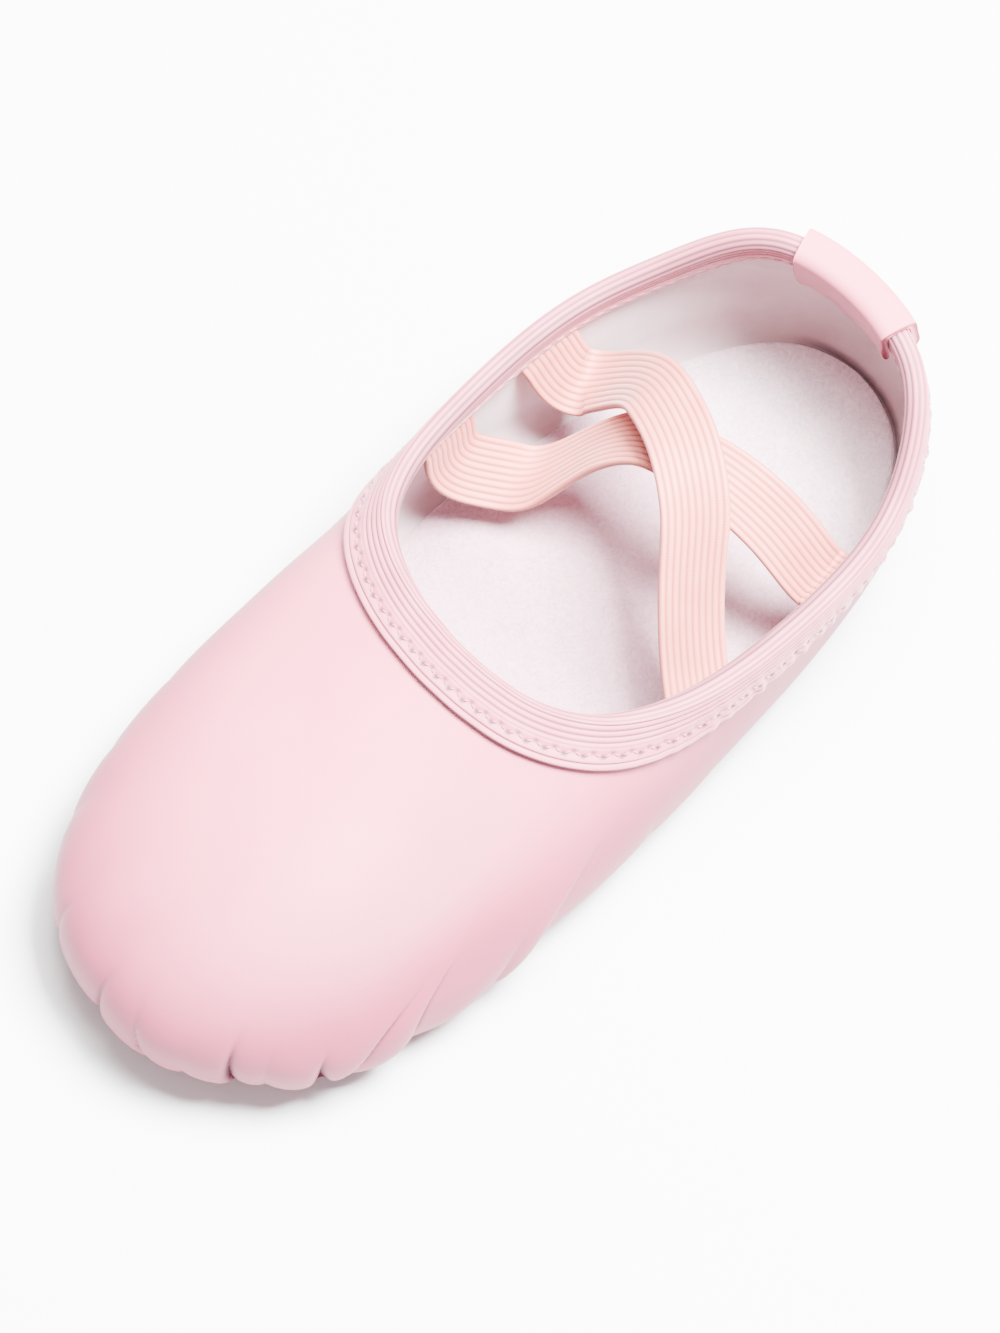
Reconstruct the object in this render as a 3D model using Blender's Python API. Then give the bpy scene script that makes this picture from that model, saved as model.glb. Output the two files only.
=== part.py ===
"""Child's slip-on ballet shoe for the left foot, built as a maker would put it together.

A soft upper of coated leather is drawn over a last, gathered in pleats round the toe and turned in underneath,
where a split sole of two suede pads closes it. Inside lies an insole. An elastic tape is folded over the collar,
a leather tab is folded over the tape at the heel, and two elastic straps cross over the instep.

Frame: +X to the toe, +Y to the wearer's left, which is the outer side of this foot, and +Z up. The origin is on
the floor, under the middle of the shoe. While the shapes are worked out, x counts from the back of the heel.

The upper is one function of two numbers. The first goes round the shoe and counts the rows of the LAST table:
0 at the heel, up to TOE_ROW at the toe along the outer side, then on along the inner side back to the heel. The
second climbs the leather: -1 at the turned-in edge, 0 at the widest level, 1 at the collar's edge. Every other
piece is cut to this function with a named clearance.
"""
import math

import bpy
import numpy as np

MM = 0.001

# Driving sizes of the last
LENGTH = 170 * MM
BALL_OUTER = 34.4 * MM
BALL_INNER = 38.4 * MM
WIDEST_LEVEL = 12 * MM
ARCH_LIFT = 3.5 * MM
TOE_SPRING = 2.2 * MM
TOE_SPRING_START = 0.78

# The collar's edge
COLLAR_BACK = 6.5 * MM
COLLAR_LENGTH = 86.5 * MM
COLLAR_OUTER = 31.3 * MM
COLLAR_INNER = 34.5 * MM
HEEL_HEIGHT = 44 * MM
SIDE_HEIGHT = 32 * MM
THROAT_HEIGHT = 33.5 * MM
HEEL_RISE_REACH = 14 * MM
THROAT_RISE_REACH = 22 * MM

# Thicknesses and the clearance between pieces
UPPER_WALL = 1.4 * MM
PAD_THICKNESS = 1.5 * MM
INSOLE_THICKNESS = 2.0 * MM
TAPE_THICKNESS = 0.9 * MM
TAB_THICKNESS = 1.2 * MM
STRAP_THICKNESS = 1.3 * MM
GAP = 0.3 * MM

# Sole pads, measured in from the widest outline towards the spine
SPINE_BACK = 27 * MM
SPINE_FRONT = 128 * MM
PAD_INSET = 9.5 * MM
TURN_IN = 7 * MM
TURN_RADIUS = 10 * MM
TURN_POWER = 0.9
FLAT_START = 0.75
FRONT_PAD_START = 78 * MM
HEEL_PAD_END = 52 * MM
FRONT_PAD_ROUND = 24 * MM
PAD_CURL = 4 * MM
HEEL_PAD_ROUND = 16 * MM
INSOLE_TOP_INSET = 4.8 * MM
INSOLE_FOOT_INSET = 10.2 * MM

# Binding, tab and straps. A folded strip has an extra row at BINDING_MIDDLE of the way down its outer leg, and its
# fold is rounded at SHOULDER_RISE and SHOULDER_OUT of its thickness and clearance.
BINDING_OUTSIDE = 7.5 * MM
BINDING_INSIDE = 5 * MM
BINDING_MIDDLE = 0.4
SHOULDER_RISE = 0.75
SHOULDER_OUT = 0.6
TAB_HALF_WIDTH = 11 * MM
TAB_OUTSIDE = 15 * MM
TAB_INSIDE = 9 * MM
STRAP_WIDTH = 11.5 * MM
STRAP_SWING = 16 * MM
STRAP_RISE = 17 * MM
STRAP_CLEAR = 1.0 * MM
STRAP_TUCK = 2.4 * MM
STRAP_SEAT = 4.5 * MM
STRAP_LEAVE = 2.0 * MM

# Pleats round the toe
FOLD_DEPTH = 0.7 * MM
PUFF_HEIGHT = 1.2 * MM
FOLD_WIDTH_ROWS = 0.16

# The last, a row for each section from heel to toe. along is a share of LENGTH; outer and inner are shares of
# the ball's two half widths, from the centre line; level is a share of WIDEST_LEVEL. collar_along, collar_outer
# and collar_inner are the same for the collar's edge, as shares of its own sizes. climb is the leather's angle to
# the floor at the collar, in degrees. low and high say how full the leather is above its widest level and under
# the collar, as shares of the distance between the two.
LAST_COLUMNS = ("along", "outer", "inner", "level", "collar_along", "collar_outer", "collar_inner",
                "climb", "low", "high")
LAST = (
    (0.000, 0.000, 0.000, 1.25, 0.000, 0.000, 0.000, 86, 0.36, 0.34),
    (0.021, 0.375, 0.340, 1.20, 0.035, 0.478, 0.420, 85, 0.36, 0.34),
    (0.080, 0.630, 0.580, 1.12, 0.145, 0.793, 0.720, 84, 0.36, 0.34),
    (0.165, 0.799, 0.742, 1.05, 0.300, 0.958, 0.922, 83, 0.36, 0.34),
    (0.265, 0.892, 0.846, 1.00, 0.474, 1.000, 0.994, 82, 0.36, 0.34),
    (0.365, 0.945, 0.911, 1.00, 0.647, 0.972, 0.992, 79, 0.36, 0.34),
    (0.465, 0.977, 0.956, 1.00, 0.780, 0.888, 0.957, 67, 0.36, 0.36),
    (0.565, 0.997, 0.988, 1.00, 0.879, 0.754, 0.858, 48, 0.32, 0.40),
    (0.665, 1.000, 1.000, 1.00, 0.936, 0.607, 0.710, 34, 0.29, 0.42),
    (0.765, 0.965, 0.974, 1.00, 0.968, 0.463, 0.545, 27, 0.27, 0.44),
    (0.859, 0.878, 0.891, 0.98, 0.986, 0.326, 0.383, 22, 0.26, 0.46),
    (0.929, 0.663, 0.734, 0.95, 0.994, 0.208, 0.255, 19, 0.26, 0.48),
    (0.979, 0.334, 0.469, 0.93, 0.999, 0.080, 0.139, 17, 0.27, 0.50),
    (1.000, -0.044, 0.039, 0.92, 1.000, -0.032, 0.029, 16, 0.27, 0.50),
)
TOE_ROW = len(LAST) - 1
RING_ROWS = 2 * TOE_ROW

# The pleats, a row for each fold, counted in rows of the last from the toe: plus on the outer side. depth and
# puff are shares of FOLD_DEPTH and of PUFF_HEIGHT, where puff is the bulge from this fold to the next. top is
# where the fold dies out on the way up, 0 at the widest level and 1 at the collar.
FOLD_COLUMNS = ("from_toe", "depth", "puff", "top")
FOLDS = (
    (5.80, 0.3, 0.5, 0.10),
    (5.10, 1.0, 0.8, 0.42),
    (4.30, 1.0, 0.9, 0.36),
    (3.60, 0.9, 1.0, 0.14),
    (3.00, 1.0, 0.9, 0.10),
    (2.40, 0.9, 0.8, 0.08),
    (1.85, 1.1, 1.1, 0.12),
    (1.15, 1.3, 0.9, 0.10),
    (0.60, 1.2, 1.0, 0.14),
    (-0.10, 1.0, 0.9, 0.08),
    (-0.65, 0.8, 1.0, 0.10),
    (-1.35, 1.0, 1.0, 0.12),
    (-2.00, 0.8, 0.9, 0.08),
    (-2.60, 0.9, 1.0, 0.10),
    (-3.30, 0.8, 0.9, 0.12),
    (-4.10, 0.8, 0.8, 0.16),
    (-5.00, 0.7, 0.6, 0.20),
    (-5.80, 0.3, 0.5, 0.10),
)
FOLD_FOOT = -0.62

# The straps. Each is sewn in under the binding, at a place counted in rows of the last from the heel, on the
# inner and on the outer side. A row of a table is a station of the strap's middle line: way is the share of the
# way across from the inner end, aside a share of STRAP_SWING towards the toe, and rise a share of STRAP_RISE over
# the line between the ends. turn and tilt give the direction of the strap's width, turned from +X towards +Y and
# tilted up, in degrees.
STRAP_TOP_ROWS = (3.80, 5.42)
STRAP_UNDER_ROWS = (5.25, 3.58)
STRAP_COLUMNS = ("way", "aside", "rise", "turn", "tilt")
STRAP_TOP = (
    (0.10, -0.34, -0.32, 12, -12),
    (0.19, -0.59, 0.10, 14, -2),
    (0.28, -0.72, 0.52, 8, 4),
    (0.37, -0.73, 0.76, -5, 3),
    (0.47, -0.71, 0.94, -15, -2),
    (0.57, -0.64, 0.94, -26, 2),
    (0.66, -0.52, 0.79, -32, 10),
    (0.73, -0.32, 0.53, -33, 18),
    (0.82, -0.11, 0.18, -29, 18),
    (0.90, 0.01, -0.12, -20, 8),
)
STRAP_UNDER = (
    (0.10, -0.05, -0.44, 4, -12),
    (0.17, -0.14, -0.49, 16, -4),
    (0.22, -0.29, -0.35, 27, 8),
    (0.26, -0.44, -0.10, 35, 22),
    (0.31, -0.57, 0.18, 38, 28),
    (0.39, -0.63, 0.47, 42, 24),
    (0.50, -0.56, 0.56, 38, 12),
    (0.61, -0.47, 0.56, 24, -4),
    (0.73, -0.35, 0.44, 14, -10),
    (0.84, -0.22, 0.21, 6, -12),
    (0.92, -0.11, -0.06, 2, -8),
)

# How finely the shapes are cut into faces
FOLD_STEPS = 4
ROW_STEPS = 3
CLIMB_LOW = (-1.0, -0.75, -0.58, -0.42, -0.28, -0.14)
CLIMB_HIGH = (0.0, 0.13, 0.28, 0.45, 0.62, 0.78, 0.90, 1.0)
PLATE_STEPS = 4
PLATE_ROWS = 40
PAD_ROWS = 22
PAD_TIP_ROWS = 7
STRAP_STEPS = 4
TAB_STEPS = 13

# How finely a curve is sampled to find a place on it, and the step for its direction, in rows of the last
SAMPLES_PER_ROW = 100
CLIMB_SAMPLES = 161
LOWEST_BINDING = 0.2
SMALL_STEP = 0.002
SHARP_EDGE = math.radians(50)


def column(table, names, name):
    """Read one named column of a table."""
    return np.array([row[names.index(name)] for row in table], dtype=float)


def spline_slopes(knots, closed):
    """Slopes of the smooth curve through evenly spaced knots: m[i-1] + 4 m[i] + m[i+1] = 3 (k[i+1] - k[i-1])."""
    count = len(knots)
    system = 4 * np.eye(count) + np.roll(np.eye(count), 1, axis=0) + np.roll(np.eye(count), -1, axis=0)
    pull = 3 * (np.roll(knots, -1, axis=0) - np.roll(knots, 1, axis=0))
    if not closed:
        for end, inside in ((0, 1), (-1, -2)):
            system[end] = 0
            system[end, end] = 2
            system[end, inside] = 1
        pull[0] = 3 * (knots[1] - knots[0])
        pull[-1] = 3 * (knots[-1] - knots[-2])
    return np.linalg.solve(system, pull)


def spline(knots, at, closed=True):
    """Read the smooth curve through evenly spaced knots at the places in at, counted in knots."""
    knots = np.asarray(knots, dtype=float)
    slopes = spline_slopes(knots, closed)
    at = np.asarray(at, dtype=float)
    count = len(knots)
    low = np.floor(at).astype(int)
    if not closed:
        low = np.clip(low, 0, count - 2)
    s = at - low
    if knots.ndim > 1:
        s = s[..., None]
    start, end = low % count, (low + 1) % count
    return (knots[start] * (1 + 2 * s) * (1 - s) ** 2 + slopes[start] * s * (1 - s) ** 2
            + knots[end] * s * s * (3 - 2 * s) + slopes[end] * s * s * (s - 1))


def smooth_step(value):
    """Ease from 0 to 1 with level ends: 3 s^2 - 2 s^3."""
    s = np.clip(value, 0, 1)
    return s * s * (3 - 2 * s)


def ring_knots(outer_name, inner_name, outer_size, inner_size):
    """Carry a table column round the shoe: outer side to the toe, then the inner side back with the minus sign."""
    outer = column(LAST, LAST_COLUMNS, outer_name) * outer_size
    inner = column(LAST, LAST_COLUMNS, inner_name) * inner_size
    return np.concatenate((outer, -inner[TOE_ROW - 1:0:-1]))


def around(name, at, size=1.0):
    """Read a column that is the same on both sides, at places round the shoe."""
    values = column(LAST, LAST_COLUMNS, name) * size
    return spline(np.concatenate((values, values[TOE_ROW - 1:0:-1])), at)


def widest(at):
    """The shoe's outline at its widest level, in plan."""
    across = spline(ring_knots("outer", "inner", BALL_OUTER, BALL_INNER), at)
    return np.stack((around("along", at, LENGTH), across), axis=-1)


def collar(at):
    """The collar's edge, on the leather's outer face: high at the heel, and a little up again at the throat."""
    along = COLLAR_BACK + around("collar_along", at, COLLAR_LENGTH)
    across = spline(ring_knots("collar_outer", "collar_inner", COLLAR_OUTER, COLLAR_INNER), at)
    heel = np.exp(-((along - COLLAR_BACK) / HEEL_RISE_REACH) ** 2)
    throat = smooth_step((along - COLLAR_BACK - COLLAR_LENGTH) / THROAT_RISE_REACH + 1)
    height = (SIDE_HEIGHT + heel * (HEEL_HEIGHT - SIDE_HEIGHT)
              + throat * (THROAT_HEIGHT - SIDE_HEIGHT))
    return np.stack((along, across, height), axis=-1)


def left_of(curve, at):
    """Unit vector in plan to the left of a curve that runs outer side first, which points out of the shoe."""
    ahead = curve(at + SMALL_STEP)[..., :2] - curve(at - SMALL_STEP)[..., :2]
    out = np.stack((-ahead[..., 1], ahead[..., 0]), axis=-1)
    return out / np.linalg.norm(out, axis=-1, keepdims=True)


def ground(along):
    """Height of the shoe's underside: flat at heel and ball, lifted under the arch, sprung at the toe."""
    start, end = HEEL_PAD_END - PAD_CURL, FRONT_PAD_START + PAD_CURL
    arch = np.sin(math.pi * np.clip((along - start) / (end - start), 0, 1)) ** 2
    toe = np.clip((along / LENGTH - TOE_SPRING_START) / (1 - TOE_SPRING_START), 0, 1) ** 2
    return ARCH_LIFT * arch + TOE_SPRING * toe


def inset_line(at, inset):
    """The widest outline moved in by a fixed distance, towards a spine along the middle of the shoe."""
    outline = widest(at)
    spine = np.stack((np.clip(outline[..., 0], SPINE_BACK, SPINE_FRONT), np.zeros_like(outline[..., 0])), axis=-1)
    inward = spine - outline
    return outline + inset * inward / np.linalg.norm(inward, axis=-1, keepdims=True)


def open_share(along, trim):
    """1 where a pad closes the underside and 0 under the arch, with elliptical ends."""
    front = np.clip((along - FRONT_PAD_START - trim) / FRONT_PAD_ROUND, 0, 1)
    heel = np.clip((HEEL_PAD_END - trim - along) / HEEL_PAD_ROUND, 0, 1)
    return np.maximum(np.sqrt(1 - (1 - front) ** 2), np.sqrt(1 - (1 - heel) ** 2))


def turned_edge(at):
    """The leather's lower edge: round the two openings, and on the centre line under the arch."""
    outline = widest(at)
    middle = np.stack((outline[..., 0], np.zeros_like(outline[..., 0])), axis=-1)
    share = open_share(outline[..., 0], TURN_IN)[..., None]
    plan = middle + share * (inset_line(at, PAD_INSET + TURN_IN) - middle)
    height = PAD_THICKNESS + GAP + ground(plan[..., 0])
    return np.concatenate((plan, height[..., None]), axis=-1)


def bezier(points, s):
    """A cubic curve from its four control points, at shares s of the way."""
    s = s[..., None]
    return (points[0] * (1 - s) ** 3 + points[1] * 3 * s * (1 - s) ** 2
            + points[2] * 3 * s * s * (1 - s) + points[3] * s ** 3)


def pleats(at, climb):
    """How far the leather stands out at the gathers: a groove at each fold and a puff between two folds."""
    places = TOE_ROW - column(FOLDS, FOLD_COLUMNS, "from_toe")
    depth = column(FOLDS, FOLD_COLUMNS, "depth") * FOLD_DEPTH
    puff = column(FOLDS, FOLD_COLUMNS, "puff") * PUFF_HEIGHT
    top = column(FOLDS, FOLD_COLUMNS, "top")
    here = np.interp(at, places, top, left=0, right=0)
    inside = (at > places[0]) & (at < places[-1])
    gap = np.clip(np.searchsorted(places, at, side="right") - 1, 0, len(places) - 2)
    s = np.clip((at - places[gap]) / (places[gap + 1] - places[gap]), 0, 1)
    bulge = puff[gap] * 4 * s * (1 - s) * inside
    groove = sum(d * np.exp(-((at - p) / FOLD_WIDTH_ROWS) ** 2) for p, d in zip(places, depth))
    rise = np.clip((climb - FOLD_FOOT) / (here - FOLD_FOOT), 0, 1)
    return (bulge - groove) * np.sin(math.pi * rise) ** 2 * (climb < here)


def smooth_upper(at, climb):
    """The leather's outer face without its pleats, at places round the shoe and up its side.

    Under the widest level it turns in along a rounded corner and then runs flat to its lower edge. Above it, a
    cubic curve leaves straight up and meets the collar at the climb angle.
    """
    at, climb = np.broadcast_arrays(np.asarray(at, dtype=float), np.asarray(climb, dtype=float))
    level = around("level", at, WIDEST_LEVEL)
    side = np.concatenate((widest(at), level[..., None]), axis=-1)
    edge = turned_edge(at)
    top = collar(at)
    up = np.array((0.0, 0.0, 1.0))
    inward = (edge - side)[..., :2]
    span = np.linalg.norm(inward, axis=-1)
    angle = math.pi / 2 * np.clip(-climb / FLAT_START, 0, 1)
    run = np.clip((-climb - FLAT_START) / (1 - FLAT_START), 0, 1)
    moved = TURN_RADIUS * (1 - np.cos(angle) ** TURN_POWER) + run * (span - TURN_RADIUS)
    low_plan = side[..., :2] + inward * (moved / span)[..., None]
    floor = PAD_THICKNESS + GAP + ground(low_plan[..., 0])
    low_height = level - (level - floor) * np.sin(angle) ** TURN_POWER
    under = np.concatenate((low_plan, low_height[..., None]), axis=-1)
    reach = np.linalg.norm(top - side, axis=-1)
    angle = np.radians(around("climb", at))
    out = left_of(collar, at)
    rise = np.stack((-out[..., 0] * np.cos(angle), -out[..., 1] * np.cos(angle), np.sin(angle)), axis=-1)
    low = (reach * around("low", at))[..., None]
    high = (reach * around("high", at))[..., None]
    over = bezier((side, side + low * up, top - high * rise, top), climb)
    return np.where((climb < 0)[..., None], under, over)


def outward(at, climb):
    """Unit normal of the leather, out of the shoe, from small steps round it and up it."""
    at, climb = np.broadcast_arrays(np.asarray(at, dtype=float), np.asarray(climb, dtype=float))
    low = np.clip(climb - SMALL_STEP, -1, 1)
    high = np.clip(climb + SMALL_STEP, -1, 1)
    along = smooth_upper(at + SMALL_STEP, climb) - smooth_upper(at - SMALL_STEP, climb)
    up = smooth_upper(at, high) - smooth_upper(at, low)
    normal = np.cross(up, along)
    return normal / np.linalg.norm(normal, axis=-1, keepdims=True)


def upper_face(at, climb, depth):
    """A point of the leather's outer face moved in by depth along the normal."""
    return smooth_upper(at, climb) - np.asarray(depth)[..., None] * outward(at, climb)


def stations():
    """Places round the shoe where the upper is cut into columns: every fold, and every row away from the folds."""
    folds = TOE_ROW - column(FOLDS, FOLD_COLUMNS, "from_toe")
    rows = [row for row in range(RING_ROWS + 1) if row < folds[0] or row > folds[-1]]
    marks = sorted(list(folds) + rows)
    places = []
    for start, end in zip(marks, marks[1:]):
        steps = FOLD_STEPS if start in folds and end in folds else math.ceil((end - start) * ROW_STEPS)
        places.extend(start + (end - start) * k / steps for k in range(steps))
    return np.array(places)


def new_object(name, points, faces, surface):
    """Make one mesh object from the points that its faces use, smooth over its gentle edges."""
    used = sorted({corner for face in faces for corner in face})
    number = {old: new for new, old in enumerate(used)}
    mesh = bpy.data.meshes.new(name)
    mesh.from_pydata([tuple(points[old]) for old in used], [], [[number[old] for old in face] for face in faces])
    mesh.validate()
    mesh.shade_smooth()
    mesh.set_sharp_from_angle(angle=SHARP_EDGE)
    mesh.materials.append(surface)
    part = bpy.data.objects.new(name, mesh)
    bpy.context.scene.collection.objects.link(part)


def material(name, colour, roughness):
    """A plain surface of one colour."""
    made = bpy.data.materials.new(name)
    made.use_nodes = True
    shader = made.node_tree.nodes["Principled BSDF"]
    shader.inputs["Base Color"].default_value = (*colour, 1)
    shader.inputs["Roughness"].default_value = roughness
    shader.inputs["Metallic"].default_value = 0
    return made


def build_upper():
    """The hollow leather shell: outer and inner face, closed at the collar's edge and round both openings."""
    places = stations()
    climbs = np.array(CLIMB_LOW + CLIMB_HIGH)
    grid_at, grid_climb = np.meshgrid(places, climbs, indexing="ij")
    outer = upper_face(grid_at, grid_climb, -pleats(grid_at, grid_climb))
    inner = upper_face(grid_at, grid_climb, np.full(grid_at.shape, UPPER_WALL))
    columns, rows = grid_at.shape
    index = np.arange(columns * rows).reshape(columns, rows)
    arch = open_share(widest(places)[:, 0], TURN_IN) == 0
    for here in np.flatnonzero(arch & (places > TOE_ROW)):
        twin = np.argmin(np.abs(places - (RING_ROWS - places[here])))
        index[here, 0] = index[twin, 0]
    shift = columns * rows
    faces = []
    for here in range(columns):
        there = (here + 1) % columns
        for low in range(rows - 1):
            face = (index[here, low], index[there, low], index[there, low + 1], index[here, low + 1])
            faces.append(face[::-1])
            faces.append(tuple(corner + shift for corner in face))
        top = (index[here, -1], index[there, -1], index[there, -1] + shift, index[here, -1] + shift)
        faces.append(top[::-1])
        if not (arch[here] and arch[there]):
            edge = (index[here, 0], index[there, 0], index[there, 0] + shift, index[here, 0] + shift)
            faces.append(edge)
    points = np.concatenate((outer.reshape(-1, 3), inner.reshape(-1, 3)))
    new_object("upper", points, faces, material("pink coated leather", (0.90, 0.66, 0.72), 0.45))


def layer(edges, height):
    """Rows of points from one edge of a plate to the other, at a height over the shoe's underside."""
    across = np.linspace(0, 1, PLATE_STEPS + 1)[None, :, None]
    plan = edges[0][:, None, :] * (1 - across) + edges[1][:, None, :] * across
    return np.concatenate((plan, (height + ground(plan[..., 0]))[..., None]), axis=-1)


def plate(name, foot_edges, top_edges, bottom, thickness, surface):
    """A flat piece between two edges that meet at both ends, of even thickness, following the underside."""
    rows = len(foot_edges[0])
    low = layer(foot_edges, bottom)
    high = layer(top_edges, bottom + thickness)
    count = rows * (PLATE_STEPS + 1)
    index = np.arange(count).reshape(rows, PLATE_STEPS + 1)
    index[0, :] = index[0, 0]
    index[-1, :] = index[-1, 0]
    faces = []

    def add(*corners):
        kept = [corner for k, corner in enumerate(corners) if corner != corners[k - 1]]
        if len(kept) > 2:
            faces.append(tuple(kept))

    for row in range(rows - 1):
        for step in range(PLATE_STEPS):
            a, b = index[row, step], index[row, step + 1]
            c, d = index[row + 1, step + 1], index[row + 1, step]
            add(a, d, c, b)
            add(a + count, b + count, c + count, d + count)
        for step, turned in ((0, False), (PLATE_STEPS, True)):
            a, b = index[row, step], index[row + 1, step]
            side = (a, a + count, b + count, b)
            add(*(side[::-1] if turned else side))
    points = np.concatenate((low.reshape(-1, 3), high.reshape(-1, 3)))
    new_object(name, points, faces, surface)


def place_at(along, inset):
    """The place round the outer side where the inset outline reaches a distance along the shoe."""
    fine = np.linspace(0, TOE_ROW, TOE_ROW * SAMPLES_PER_ROW + 1)
    return np.interp(along, inset_line(fine, inset)[:, 0], fine)


def pad_edges(start, end, round_at, arch_at_start):
    """Both edges of a sole pad from its tip under the arch: an ellipse quarter, then the inset outline."""
    turn = np.linspace(0, math.pi / 2, PAD_TIP_ROWS)[:, None]
    join = place_at(start + round_at if arch_at_start else start - round_at, PAD_INSET)
    rest = np.linspace(join, end, PAD_ROWS)[1:]
    edges = []
    for mirror in (False, True):
        at_join = RING_ROWS - join if mirror else join
        at_rest = RING_ROWS - rest if mirror else rest
        wide = inset_line(np.array([at_join]), PAD_INSET)[0]
        along = start + (wide[0] - start) * (1 - np.cos(turn))
        tip = np.concatenate((along, wide[1] * np.sin(turn)), axis=1)
        edges.append(np.concatenate((tip, inset_line(at_rest, PAD_INSET))))
    return edges


def build_soles():
    """The split sole: a suede pad under the forefoot and one under the heel."""
    suede = material("pink suede", (0.72, 0.50, 0.55), 0.95)
    edges = pad_edges(FRONT_PAD_START, TOE_ROW, FRONT_PAD_ROUND, True)
    plate("sole_front", edges, edges, 0.0, PAD_THICKNESS, suede)
    edges = pad_edges(HEEL_PAD_END, 0, HEEL_PAD_ROUND, False)[::-1]
    plate("sole_heel", edges, edges, 0.0, PAD_THICKNESS, suede)


def build_insole():
    """The sock and its board, on the turned-in leather, with sides that slant along the curve of the wall."""
    at = np.linspace(0, TOE_ROW, PLATE_ROWS)
    bottom = PAD_THICKNESS + GAP + UPPER_WALL + GAP
    foot, top = ((inset_line(at, inset), inset_line(RING_ROWS - at, inset))
                 for inset in (INSOLE_FOOT_INSET, INSOLE_TOP_INSET))
    plate("insole", foot, top, bottom, INSOLE_THICKNESS, material("brushed cotton", (0.86, 0.80, 0.84), 1.0))


def below_collar(places, distances):
    """The climb value at each distance under the collar's edge, measured square to that edge."""
    fine = np.linspace(LOWEST_BINDING, 1, CLIMB_SAMPLES)
    grid_at, grid_climb = np.meshgrid(places, fine, indexing="ij")
    points = smooth_upper(grid_at, grid_climb)
    pieces = np.linalg.norm(np.diff(points, axis=1), axis=-1)
    edge_way = collar(places + SMALL_STEP) - collar(places - SMALL_STEP)
    edge_way /= np.linalg.norm(edge_way, axis=-1, keepdims=True)
    up_way = points[:, -1] - points[:, -2]
    up_way /= np.linalg.norm(up_way, axis=-1, keepdims=True)
    square = np.sqrt(1 - np.sum(edge_way * up_way, axis=-1) ** 2)
    result = []
    for lengths, slant in zip(pieces, square):
        travelled = np.concatenate(([0.0], np.cumsum(lengths[::-1]))) * slant
        result.append(np.interp(distances, travelled, fine[::-1]))
    return np.array(result)


def collar_section(places, rows):
    """Points round the collar's edge. A row gives a distance and a depth: under the edge where the distance is
    plus, over it where it is minus."""
    distance = np.array([row[0] for row in rows])
    depth = np.broadcast_to(np.array([row[1] for row in rows]), (len(places), len(rows)))
    climb = below_collar(places, np.maximum(distance, 0))
    points = upper_face(places[:, None], climb, depth)
    edge_way = collar(places + SMALL_STEP) - collar(places - SMALL_STEP)
    up = np.cross(edge_way, outward(places, np.ones(len(places))))
    up /= np.linalg.norm(up, axis=-1, keepdims=True)
    up *= np.sign(up[:, 2:3])
    return points + up[:, None, :] * np.maximum(-distance, 0)[None, :, None]


def tube(name, sections, closed, surface):
    """A solid from rings of points: joined end to end, or with an end face on each end."""
    count, ring = sections.shape[:2]
    faces = []
    for here in range(count if closed else count - 1):
        there = (here + 1) % count
        for k in range(ring):
            n = (k + 1) % ring
            faces.append((here * ring + k, here * ring + n, there * ring + n, there * ring + k))
    if not closed:
        faces.append(tuple(reversed(range(ring))))
        faces.append(tuple((count - 1) * ring + k for k in range(ring)))
    new_object(name, sections.reshape(-1, 3), faces, surface)


def wrap_rows(outside, inside, clear, thickness, step=None):
    """Rows of a folded strip over the collar: up the outer face, over the edge, down the inner face and back.

    clear is the strip's distance from the leather, and step, where there is one, the distance outside the collar
    below which it lies close to the leather again.
    """
    far = clear + thickness
    mid = BINDING_MIDDLE * BINDING_OUTSIDE
    low = [(outside, -GAP - thickness)] if step else [(outside, -far)]
    low_back = [(outside, -GAP)] if step else [(outside, -clear)]
    if step:
        low += [(step + far, -GAP - thickness), (step, -far)]
        low_back += [(step + far, -GAP), (step + GAP, -clear)]
    over = [(mid, -far), (0.0, -far), (-SHOULDER_RISE * far, -SHOULDER_OUT * far), (-far, 0.5 * UPPER_WALL),
            (-SHOULDER_RISE * far, UPPER_WALL + SHOULDER_OUT * far), (0.0, UPPER_WALL + far)]
    inner = [(inside, UPPER_WALL + far), (inside, UPPER_WALL + clear), (0.0, UPPER_WALL + clear)]
    if step:
        inner.insert(2, (BINDING_INSIDE, UPPER_WALL + clear + 0.5 * GAP))
    under = [(-clear, UPPER_WALL + 0.5 * clear), (-clear, -0.5 * clear), (0.0, -clear), (mid, -clear)]
    return low + over + inner + under + low_back[::-1]


def build_binding():
    """The elastic tape folded over the collar's edge, all the way round."""
    places = np.arange(0, RING_ROWS, 1 / ROW_STEPS)
    rows = wrap_rows(BINDING_OUTSIDE, BINDING_INSIDE, GAP, TAPE_THICKNESS)
    tube("collar_binding", collar_section(places, rows), True, material("pink elastic tape", (0.92, 0.70, 0.75), 0.6))


def build_tab():
    """The leather tab folded over the tape at the back of the heel."""
    fine = np.linspace(0, 2, 2 * SAMPLES_PER_ROW + 1)
    half = np.interp(TAB_HALF_WIDTH, collar(fine)[:, 1], fine)
    places = np.linspace(-half, half, TAB_STEPS)
    rows = wrap_rows(TAB_OUTSIDE, TAB_INSIDE, GAP + TAPE_THICKNESS + GAP, TAB_THICKNESS, BINDING_OUTSIDE + GAP)
    tube("heel_tab", collar_section(places, rows), False, material("pink smooth leather", (0.92, 0.69, 0.75), 0.4))


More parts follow.
